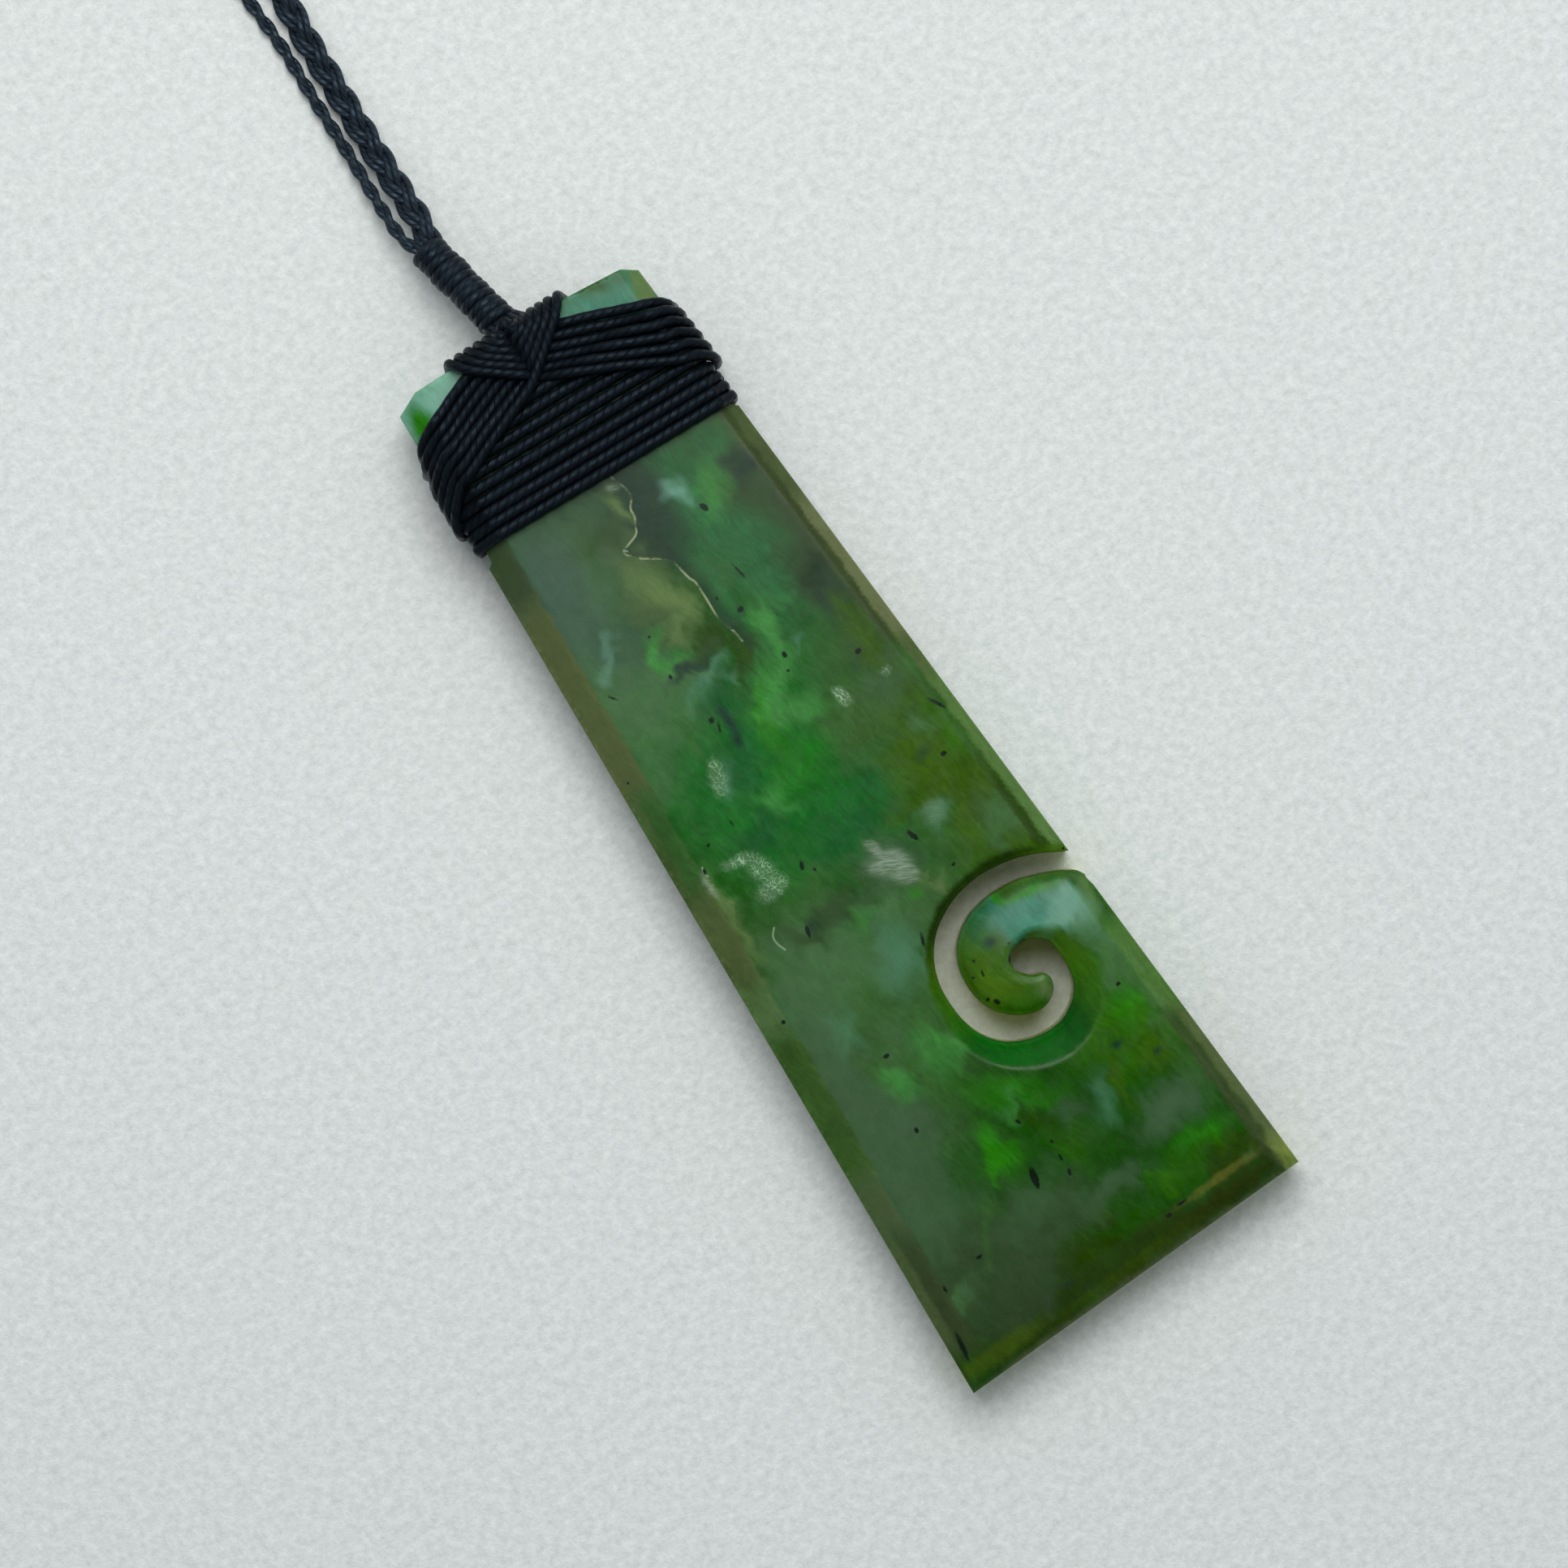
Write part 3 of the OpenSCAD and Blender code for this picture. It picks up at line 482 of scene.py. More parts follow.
# Nephrite, ground and polished by hand: cloudy greens with depth, dark flecks and pale healed cracks, under a
# satin polish that gives soft-edged highlights
greenstone = {
    "greens": {
        "ice": "#76aa94", "milk": "#508262", "foam": "#2f7c64", "mist": "#42603f", "fog": "#425e4a",
        "lichen": "#476e42", "shade": "#243c2b", "night": "#1a3418", "moss": "#375f2a", "sea": "#2a6637",
        "teal": "#165826", "jade": "#428a3e", "leaf": "#2f6602", "spring": "#267c04", "deep": "#11651d",
        "forest": "#154c02", "olive": "#375b04", "lime": "#456b02", "sand": "#647c48", "husk": "#6a714a",
        "dusk": "#334a2a", "peat": "#243f00", "pit": "#2a3a00", "paintedCrestHighlight": "#8a8434", "ink": "#14302a",
        "bran": "#59653c", "loam": "#3a4624", "fern": "#3a5c20", "peel": "#597a3e", "paintedSlopeShade": "#203b00",
        "vivid": "#045a06", "well": "#004500", "rind": "#4d5a34", "moat": "#486000", "glass": "#76883e"},
    # colours: a painted glow on the walls, standing in for light through the thin edges; the healed crack's sides; the
    # inclusions
    "marks": {
        "walls": "#c8cc30", "crackShade": "#1e3428", "crackLine": "#a8b28a", "lace": "#b0d0ac", "chalk": "#96a892",
        "curve": "#b0c4a8", "fleck": "#0b1810"},
    "ground": ("forest", "moss"),
    # each cloud: green, middle x and y, half width, half height in mm, turn in degrees, strength
    "zones": [
        ("fog", -8.5, 22.5, 4.6, 9.5, 0, 1), ("lichen", -8, 12, 3.6, 6.5, 0, 1), ("shade", 0.5, 26.5, 5.5, 5, 0, 0.9),
        ("sea", 5.3, 20, 3.2, 9.5, 0, 1), ("dusk", 9, 16, 2.4, 12, 0, 1), ("deep", -1, 3.5, 8.5, 7.5, 0, 1),
        ("moss", 6.8, 4, 3.6, 4.2, 0, 0.9), ("olive", 9.8, -3.5, 3.6, 8, 0, 1), ("lichen", -6, -12, 7, 4.8, 0, 1),
        ("mist", -9.2, -24, 4.8, 12, 0, 1), ("moss", -2.8, -19.5, 3.2, 7, 0, 0.9),
        ("forest", 1.5, -28, 7.5, 6.5, 0, 1), ("leaf", 10.2, -24.5, 4.2, 7, 0, 0.9),
        ("forest", 6.5, -33.5, 8.5, 5, 0, 0.9), ("dusk", -6.5, -35.2, 8, 4.6, 0, 1),
        ("peat", 0, -39.6, 17, 1.9, 2, 1), ("ice", -4, 40, 12, 3, 0, 1), ("foam", 6, 39.6, 4, 2.4, 0, 0.9)],
    "patches": [
        # above the healed crack and round it
        ("mist", -3.5, 27, 2.3, 1.6, 0, 0.6), ("sand", -0.4, 26.8, 0.6, 1.5, 0, 0.8),
        ("dusk", -2.8, 25.1, 2.2, 0.8, 0, 0.8), ("moss", -4.2, 23.8, 0.9, 2.4, -10, 0.5),
        ("shade", 1.2, 23.3, 1.4, 3.4, 0, 0.9), ("ice", 3.4, 25.4, 0.8, 0.6, -30, 0.7),
        ("jade", 5.8, 24.2, 1.1, 1.6, -25, 0.6), ("sea", 7.4, 26.6, 1, 2, -20, 0.7),
        ("shade", 8.4, 24, 1.3, 1, 0, 0.9), ("sand", -2, 20.3, 1.9, 3.1, 0, 0.75),
        ("sand", -1.4, 19, 0.8, 1.7, 20, 0.9), ("dusk", -3, 18.3, 0.9, 2.4, 15, 0.5),
        ("sand", -2.1, 16.6, 1.2, 0.9, 0, 0.7), ("peat", -0.3, 15, 1.3, 1.4, 0, 0.8),
        ("dusk", -1.6, 14.2, 1.6, 0.6, 20, 0.7), ("jade", -4.1, 16, 0.5, 1.5, 0, 0.9),
        ("jade", -3.3, 14.7, 1.1, 0.55, 20, 0.7), ("ink", -3, 13.5, 1.7, 0.45, 5, 0.7),
        ("milk", -1.5, 12.9, 1.3, 0.35, 25, 0.6), ("milk", -2.5, 11.9, 1.6, 0.6, 30, 0.75),
        ("milk", -0.4, 11.8, 0.6, 0.5, 0, 0.6), ("peat", 0.9, 12.2, 0.6, 2.3, -18, 0.8),
        ("teal", -2, 10.5, 1.3, 1.5, 0, 0.9), ("teal", 0.4, 10.2, 0.5, 1, -30, 0.6),
        ("sea", 1.8, 17.5, 0.8, 4.4, 0, 0.7), ("jade", 3.1, 13, 0.8, 2, -8, 0.9),
        ("teal", 2.5, 13.6, 0.2, 1.8, -5, 0.6), ("jade", 4.2, 14.3, 1.3, 0.6, 10, 0.5),
        ("milk", 4.3, 11, 0.5, 0.4, 0, 0.6), ("sea", 5.6, 17, 1.3, 4, -10, 0.6), ("dusk", 8, 15.3, 1.8, 1.8, 30, 0.8),
        ("night", 8.2, 14.6, 1.5, 1.5, 20, 0.85), ("dusk", 7.4, 18, 0.9, 1.4, -20, 0.4),
        ("shade", 8.9, 12.6, 1.3, 1.6, 0, 0.7), ("olive", 9.1, 9.6, 1.2, 1.9, 0, 0.8),
        ("lichen", -5.4, 22, 0.7, 4, -8, 0.35), ("ice", -7.2, 17.8, 1.2, 0.5, 35, 0.3),
        # the bright middle
        ("jade", 1.5, 9.3, 1.1, 2.2, -25, 0.8), ("spring", 0.2, 8.1, 0.6, 1.7, -25, 0.9),
        ("jade", 1.8, 7.2, 2.4, 1.1, -15, 0.8), ("spring", -0.5, 6.4, 0.8, 1.1, 10, 0.6),
        ("moss", -5.3, 9.7, 0.4, 1.1, -15, 0.6), ("teal", -3.4, 6.2, 2, 1.7, 15, 0.8),
        ("deep", -6.9, 5.6, 1.3, 3, 0, 0.8), ("milk", -5.2, 6.3, 0.5, 1.3, -20, 0.6),
        ("jade", -2.8, 2.9, 1.3, 1.1, 0, 0.7), ("teal", -5, 0.9, 1.7, 1.3, 0, 0.8),
        ("deep", -1, 0.4, 0.9, 2.4, -10, 0.8), ("spring", 0.4, 3.6, 2.2, 2.2, 0, 0.35),
        ("teal", 0.2, -2.6, 3, 1.6, 0, 0.75), ("teal", 3.3, -0.6, 1, 0.8, 0, 0.7), ("moss", 6.2, 4, 1.7, 1.4, 0, 0.5),
        ("sea", 5.6, 1.6, 1.8, 0.9, 10, 0.4), ("mist", 8.3, 5.3, 1.6, 1.6, 0, 0.6),
        ("lichen", 9, 0.8, 0.8, 1.2, 0, 0.7), ("leaf", 10.5, 0, 0.7, 2.2, -5, 0.7),
        ("forest", -8.7, -1.2, 0.5, 2.3, 8, 0.8), ("olive", 7.6, -2.3, 2.4, 1.6, -20, 0.7),
        ("olive", 4.5, -3.3, 1.3, 0.8, 0, 0.6), ("lichen", 10.3, -7.6, 1.4, 1.7, 0, 0.8),
        ("milk", 6.1, -4.6, 1, 1.1, -30, 0.65), ("mist", 1.6, -6, 1.9, 1.7, -20, 0.8),
        ("dusk", -5, -6.9, 4, 1, 3, 0.85), ("moss", -3.2, -4.6, 0.8, 1.3, -10, 0.5),
        ("sand", -9.9, -3, 0.4, 3.8, 3, 0.75), ("lichen", -8.6, -7.6, 1.5, 1.6, 0, 0.6),
        ("lichen", -0.7, -8.3, 1.2, 0.6, 0, 0.8), ("sand", 3.9, -8.9, 1.1, 0.4, -20, 0.6),
        ("spring", 2, -8.8, 0.7, 0.4, -25, 0.6), ("jade", -2.2, -8.2, 0.8, 0.6, 0, 0.4),
        ("milk", -1.9, -12.2, 1.3, 2.4, -15, 0.85), ("lichen", -5.5, -11, 3, 2, 0, 0.5),
        ("milk", -8.2, -14.6, 1.1, 1.3, 0, 0.5), ("moss", -4.2, -13.6, 1.1, 1.2, 0, 0.6),
        ("jade", -6.6, -19.2, 0.8, 1.5, 10, 0.7), ("moss", -7.4, -17, 0.9, 0.5, 0, 0.6),
        ("jade", -3, -19.6, 1.4, 1.9, 0, 0.5), ("jade", -1.9, -18.6, 0.35, 1.7, 12, 0.6),
        ("lichen", -4.4, -16.8, 1.2, 1.6, 0, 0.5), ("mist", -10, -19, 1.6, 2.6, 0, 0.6),
        # below the spiral
        ("spring", -3.6, -27.8, 1.1, 1.9, 0, 0.8), ("spring", -4.4, -29, 0.5, 0.9, -20, 0.6),
        ("spring", 0, -24.6, 2.8, 1.1, -25, 0.55), ("jade", -0.6, -25.6, 1.2, 0.8, 0, 0.5),
        ("milk", 4.7, -28.2, 0.8, 1.8, -12, 0.5), ("mist", 2.4, -28, 1, 1.5, 0, 0.6),
        ("peat", 0.4, -27.9, 0.9, 1.6, 0, 0.5), ("olive", 6.3, -28.3, 0.5, 2.2, -8, 0.7),
        ("leaf", 1.4, -30.2, 1.6, 1, 20, 0.4), ("mist", 9, -31.9, 2.7, 1.4, 10, 0.95),
        ("mist", 2, -34.2, 2.6, 1.1, -5, 0.7), ("dusk", -7, -35.9, 4, 1.8, 0, 0.8),
        ("dusk", -10, -37.6, 3.4, 1.7, 0, 0.8), ("mist", -3.4, -32.4, 2.6, 1.5, 20, 0.6),
        ("lichen", -11.2, -34.8, 1.3, 0.7, 20, 0.7), ("moss", -7.4, -32.1, 0.6, 2.8, -35, 0.75),
        ("spring", 9.6, -34.7, 1.9, 0.9, 10, 0.6), ("leaf", 5.4, -36, 1.6, 0.8, 20, 0.7),
        ("leaf", 8.3, -36.4, 2.2, 0.6, 15, 0.5), ("forest", 3, -37, 4, 0.8, 0, 0.7),
        ("spring", 10.6, -23.6, 1.1, 1.6, -20, 0.6), ("lichen", 12, -21.5, 0.6, 4.6, 0, 0.7),
        ("milk", 11.6, -17.2, 1.2, 1.6, 0, 0.5), ("moss", 11.8, -29.5, 0.7, 3, 0, 0.6),
        ("olive", 10.4, -27.6, 1.4, 1.6, 0, 0.7), ("sand", 12.4, -37.4, 0.8, 0.6, 0, 0.3),
        # the curl; its pale foam and ice patches are partly the stone's milky colour and partly a painted highlight
        ("lime", 3, -17.3, 1.9, 3.4, 0, 0.95), ("leaf", 4, -19.7, 2, 0.9, -20, 0.9),
        ("sand", 6.1, -19.5, 0.8, 0.9, 0, 0.7), ("moss", 3.9, -16.2, 0.8, 1.4, 0, 0.5),
        ("foam", 8, -14.4, 3.2, 1.5, -20, 0.95), ("spring", 8.2, -12.7, 2.4, 0.4, -20, 0.95),
        ("sea", 4.4, -13.9, 1.3, 0.6, 20, 0.7), ("leaf", 9.1, -18.8, 0.8, 2.4, 0, 0.95),
        ("ice", 10.8, -15.6, 1.3, 1.5, 0, 0.6), ("ice", 9.3, -15.9, 0.8, 0.7, 0, 0.45),
        ("peel", 12.5, -15.2, 0.7, 1.8, 0, 0.7), ("lichen", 10.9, -20.2, 0.7, 2.2, 0, 0.75)],
    # long clouds with straighter edges: the cutting edge's facets, the bevels, the dark line inside each
    "strips": [
        # the pale line along the cutting edge's facet crest, at y -38.1, is a painted highlight
        ("pit", 8, -39.5, 4.8, 0.6, 2, 0.95), ("paintedCrestHighlight", 9.2, -38.1, 3.6, 0.3, 2, 0.3),
        ("moat", -11.5, -39.9, 4, 0.7, 2, 0.55), ("moat", 0, -40.1, 6, 0.5, 2, 0.3),
        ("rind", 0, -41.1, 17, 0.5, 2, 0.9), ("spring", -9.2, 38.9, 0.9, 1.8, 2.9, 1),
        ("pit", 12.6, -37.6, 0.35, 0.9, -10, 0.6), ("sand", 13.7, -38.2, 0.35, 1.6, -20, 0.8),
        ("sand", 9.6, 38.8, 0.7, 1.8, -3.2, 0.9)],
    # bands along the bevels, their paler yellow-brown greens partly the bevels' own tone and partly a painted glow of
    # light through the thin edges: side, y from and to, mm from the stone's edge, green, strength
    "bands": [
        ("left", 23.5, 30, -1, 2.1, "loam", 0.7), ("left", 8, 24, -1, 2.1, "bran", 0.95),
        ("left", 0, 8, 0.7, 2.1, "moss", 0.9), ("left", 0, 8, -1, 0.8, "bran", 0.5),
        ("left", -8, 0, -1, 2.1, "bran", 0.75), ("left", -12, -8, -1, 2, "sand", 0.5),
        ("left", -24, -12, -1, 2.1, "fern", 0.9), ("left", -29, -24, -1, 2, "bran", 0.5),
        ("left", -38, -29, 0.7, 2.1, "loam", 0.7), ("left", -38, -29, -1, 0.8, "bran", 0.6),
        ("right", 20, 30, -1, 0.85, "rind", 0.9), ("right", 7, 20, -1, 0.85, "husk", 0.95),
        ("right", 7, 30, 0.85, 1.5, "loam", 0.9), ("right", 3.5, 7, -1, 0.9, "bran", 0.7),
        ("right", -12, 3.5, -1, 0.85, "peel", 0.95), ("right", -4, 7, 0.9, 1.45, "moss", 0.6),
        ("right", -12, -4, 0.85, 1.6, "peat", 0.85), ("right", -26, -18.5, -1, 1.3, "peel", 0.6),
        ("right", -40, -26, -1, 0.75, "bran", 0.85), ("right", -40, -26, 0.8, 1.6, "loam", 0.8),
        ("right", -42, -38.2, -1, 1.1, "glass", 1)],
    # the carved slope's green, partly its own and partly painted shade, darkest on the upper side that faces away from
    # the window: direction from the eye, green
    "slopeGreensAndShade": [
        (30, "lime"), (50, "olive"), (66, "paintedSlopeShade"), (132, "paintedSlopeShade"), (150, "olive"), (180, "leaf"), (206, "vivid"),
        (245, "vivid"), (285, "well"), (305, "leaf"), (335, "lime"), (390, "lime")],
    # deep flecks, blurred by the stone above them
    "sunken": [
        ("ink", -2.5, 9.2, 0.36, 1.1, 5, 0.95), ("ink", -2.7, 7.7, 0.3, 0.6, 0, 0.9),
        ("ink", 4.5, -14.7, 0.45, 0.33, 0, 0.85), ("ink", 8.2, -25.9, 0.38, 0.28, 0, 0.9),
        ("ink", 10.4, -27.9, 0.27, 0.27, 0, 0.85), ("ink", 8.9, 23.8, 0.8, 0.4, 10, 0.6),
        ("ink", -4.4, -38.5, 0.3, 0.25, 0, 0.6), ("ink", 5.9, -22.9, 0.35, 0.2, 0, 0.6),
        ("ink", 8, -0.5, 0.7, 0.4, 20, 0.5), ("ink", -5.6, -6.6, 0.4, 0.5, 0, 0.5)],
    # dark flecks: x, y, half width, half length, turn
    "flecks": [
        (4.5, 23.05, 0.22, 0.36, 20), (4.07, 17.8, 0.07, 0.65, 10), (2.65, 15.4, 0.24, 0.2, 0),
        (-8.65, 15.12, 0.06, 0.38, 35), (-4, 17.35, 0.09, 0.09, 0), (-4.3, 14.1, 0.12, 0.15, 0),
        (-3.55, 9.85, 0.2, 0.22, -20), (-3.35, 9.1, 0.08, 0.4, -20), (3.5, 10.9, 0.16, 0.24, 0),
        (3.1, 9.8, 0.12, 0.1, 0), (8.1, 8.2, 0.24, 0.18, 0), (-11.1, 9.35, 0.08, 0.08, 0), (-8.7, 2.4, 0.13, 0.1, 0),
        (-10, 0.95, 0.12, 0.2, 0), (-6.4, 2.8, 0.06, 0.2, 0), (-3.85, -2.55, 0.15, 0.32, -20),
        (-3.2, -3.3, 0.1, 0.13, 0), (4.05, -5.1, 0.18, 0.5, 20), (5.4, -8.5, 0.15, 0.12, 0),
        (10.8, 1.95, 0.12, 0.65, 28), (9.2, -1.4, 0.22, 0.17, 0), (0.5, -11.85, 0.11, 0.5, -20),
        (-6.3, -17.45, 0.24, 0.14, 0), (-7.45, -23.15, 0.14, 0.2, -20), (-2.2, -30.7, 0.25, 0.8, -12),
        (0.15, -31.75, 0.13, 0.25, -20), (0.2, -30.5, 0.07, 0.25, 0), (0.3, -29.2, 0.11, 0.13, 0),
        (-0.95, -26.65, 0.1, 0.22, 20), (-8.7, -33.3, 0.22, 0.12, 0), (-12.05, -33.9, 0.1, 0.26, 0),
        (-13.3, -38.1, 0.16, 1.1, -8), (4.45, -38.35, 0.2, 0.12, 0), (5.75, -38.1, 0.36, 0.1, 0),
        (10.6, -22.3, 0.16, 0.13, 0), (2.76, -15.2, 0.1, 0.1, 0), (2.05, -16.2, 0.09, 0.08, 0),
        (2.8, -16.3, 0.08, 0.2, 0), (2.1, -18.1, 0.16, 0.12, 20), (2.55, -18.6, 0.16, 0.26, 30),
        (5, -16.5, 0.08, 0.25, -25), (5.6, -15.5, 0.1, 0.08, 0), (-11.2, -11.3, 0.15, 0.15, 0),
        (1.65, 17, 0.12, 0.12, 0), (-6.1, -6.8, 0.16, 0.42, -15)],
    # lacy white inclusions, and chalky brushed ones, as clouds of no colour
    "lace": [
        (-7.6, 0.25, 1.15, 0.4, -10, 1), (-6.4, -1.1, 0.8, 1.2, 20, 0.8), (-6.5, -2.7, 1.1, 0.75, 15, 1),
        (-5.4, 6.2, 0.6, 1.2, -20, 0.8), (5.3, 6.1, 0.4, 0.8, 20, 0.9), (9.1, 6, 0.4, 0.25, 0, 0.7)],
    "chalk": [
        (1.6, -5.9, 1.5, 0.9, -25, 1), (1.2, -4.5, 0.4, 0.9, 25, 1), (2.2, -7.1, 0.9, 0.8, -30, 0.9),
        (6.3, -4.6, 0.7, 0.9, -30, 0.25), (-0.2, 27.9, 0.5, 0.3, 0, 0.5), (-10.3, -0.1, 0.22, 0.9, 8, 0.9)],
    # short pale healed curves, and the long healed crack
    "curves": [
        [(-8.0, -5.2), (-8.42, -5.7), (-8.45, -6.3), (-8.2, -7.0)], [(-9.95, 1.3), (-10.1, 0.9), (-9.95, 0.5)],
        [(-2.1, 23.62), (-2.02, 23.5), (-1.9, 23.42)]],
    "crack": [
        (0.05, 28.6), (0.5, 27.3), (0.45, 26.5), (0, 25.9), (-0.1, 25.2), (-0.4, 24.6), (-0.7, 24.1), (-1.5, 23.8),
        (-2.1, 23.6), (-2.15, 23.3), (-1.8, 22.95), (-1.3, 22.4), (-0.7, 22), (0.1, 21.4), (0.5, 20.9), (0.65, 20),
        (0.8, 19.3), (1, 18.8), (1, 17.5), (0.95, 16.1), (1.1, 15.2), (1.4, 14.2), (1.5, 13.4)],
    "lean": -11,             # degrees that the fibres lean to the right as they rise
}


def softNoise(points, size, seed, octaves=2):
    # value noise from -1 to 1: random numbers on a square lattice of the given size in mm, blended smoothly
    # between; each further octave is half as large and half as strong
    lattice = 97
    table = np.random.default_rng(seed).uniform(-1, 1, (lattice, lattice))
    total = np.zeros(len(points))
    for k in range(octaves):
        q = points / np.asarray(size) * 2 ** k + 200 + 7.3 * k
        cell = np.floor(q).astype(int)
        u = q - cell
        u = u * u * (3 - 2 * u)
        (i, j), (right, up) = cell.T % lattice, (cell.T + 1) % lattice
        below = table[i, j] * (1 - u[:, 0]) + table[right, j] * u[:, 0]
        above = table[i, up] * (1 - u[:, 0]) + table[right, up] * u[:, 0]
        total += (below * (1 - u[:, 1]) + above * u[:, 1]) / 2 ** k
    return total


def drifted(points, size, reach, seed):
    # points pushed about by noise with features of the given size
    return points + reach * np.stack([softNoise(points, size, seed), softNoise(points, size, seed + 1)], axis=1)


def feathered(points, reach):
    # points pushed to and fro along the fibres, by noise that is fine across them and long along them
    a = math.radians(greenstone["lean"])
    along, across = np.array([math.sin(a), math.cos(a)]), np.array([math.cos(a), -math.sin(a)])
    turnedPoints = np.stack([points @ across, points @ along], axis=1)
    return points + (reach * softNoise(turnedPoints, (0.7, 3.5), 31))[:, None] * along


def ellipseRadius(points, x, y, across, along, turn):
    # distance from the middle of a turned ellipse, 1 on its rim
    a = math.radians(turn)
    dx, dy = points[:, 0] - x, points[:, 1] - y
    return np.hypot((dx * math.cos(a) + dy * math.sin(a)) / across, (dy * math.cos(a) - dx * math.sin(a)) / along)


def cloudShare(points, cloud, soft):
    # strength in the middle of an ellipse, half of it at the named size, none past 1 + soft times that
    *ellipse, strength = cloud[-6:]
    return strength * smoothStep((1 + soft - ellipseRadius(points, *ellipse)) / (2 * soft))


def greenstoneTint(points):
    # the stone's clouds laid one over another: zones, then patches, strips and sunken flecks; then the bevels' bands
    # and the carved slope
    g = greenstone
    greens = {name: np.array(linearColour(code)) for name, code in g["greens"].items()}
    wide = feathered(drifted(drifted(points, 6, 1.8, 3), 2, 0.6, 5), 1.1)
    middling = feathered(drifted(drifted(points, 2.2, 0.6, 7), 0.8, 0.25, 9), 0.6)
    close = drifted(points, 0.9, 0.12, 13)
    x, y = close.T
    layers = [(greens[g["ground"][1]], np.clip(0.5 + 0.8 * softNoise(points, 3.1, 11, 3), 0, 1))]
    for kind, where, soft in (("zones", wide, 0.7), ("patches", middling, 0.75), ("strips", close, 0.5),
                              ("sunken", close, 0.9)):
        layers += [(greens[cloud[0]], cloudShare(where, cloud, soft)) for cloud in g[kind]]
    for side, low, high, start, end, name, strength in g["bands"]:
        inward = x - leftX(y) if side == "left" else rightX(y) - x
        ends = softStep(y, low, 1.6) * softStep(-y, -high, 1.6)
        layers.append((greens[name], strength * ends * softStep(inward, start, 0.12) * softStep(-inward, -end, 0.12)))
    # the carved slope: its green by direction from the eye, with painted shade on the side away from the window, fully
    # there 0.3 mm down, weaker to the right of the eye
    r, a = roundEye(points)
    dx, dy = (points - stoneShape["eye"]).T
    named = np.array([greens[name] for _, name in g["slopeGreensAndShade"]])
    turns = [row[0] for row in g["slopeGreensAndShade"]]
    slope = np.stack([np.interp((a - 30) % 360 + 30, turns, named[:, k]) for k in range(4)], axis=1)
    weaker = 1 - 0.6 * np.clip((dx - 0.5) / 2.5, 0, 1) * (dy < 4)
    layers.append((slope, softStep(carvedSlope(close), 0.14, 0.14) * (r < 11) * weaker))
    tint = greens[g["ground"][0]]
    for over, share in layers:
        tint = tint * (1 - share[:, None]) + over * share[:, None]
    return tint


def fleckDepth(points):
    # how far inside the nearest dark fleck, in mm; negative outside
    depth = np.full(len(points), -1.0)
    for fleck in greenstone["flecks"]:
        depth = np.maximum(depth, (1 - ellipseRadius(points, *fleck)) * min(fleck[2:4]))
    return depth


def markPoints():
    # extra points in and round the flecks, and along the pale curves and the crack
    turn = np.arange(0, 2 * np.pi, np.pi / 6)
    rows = []
    for x, y, across, along, angle in greenstone["flecks"]:
        a = math.radians(angle)
        for grow in (0.4, 1, 1.7):
            u, v = grow * across * np.cos(turn), grow * along * np.sin(turn)
            rows.append(np.stack([x + u * math.cos(a) - v * math.sin(a),
                                  y + u * math.sin(a) + v * math.cos(a)], axis=1))
    for line in greenstone["curves"] + [greenstone["crack"]]:
        fine = smoothCurve(line, 0.12)
        rows += [fine, fine + (0.09, 0.02), fine - (0.09, 0.02)]
    return np.vstack(rows)


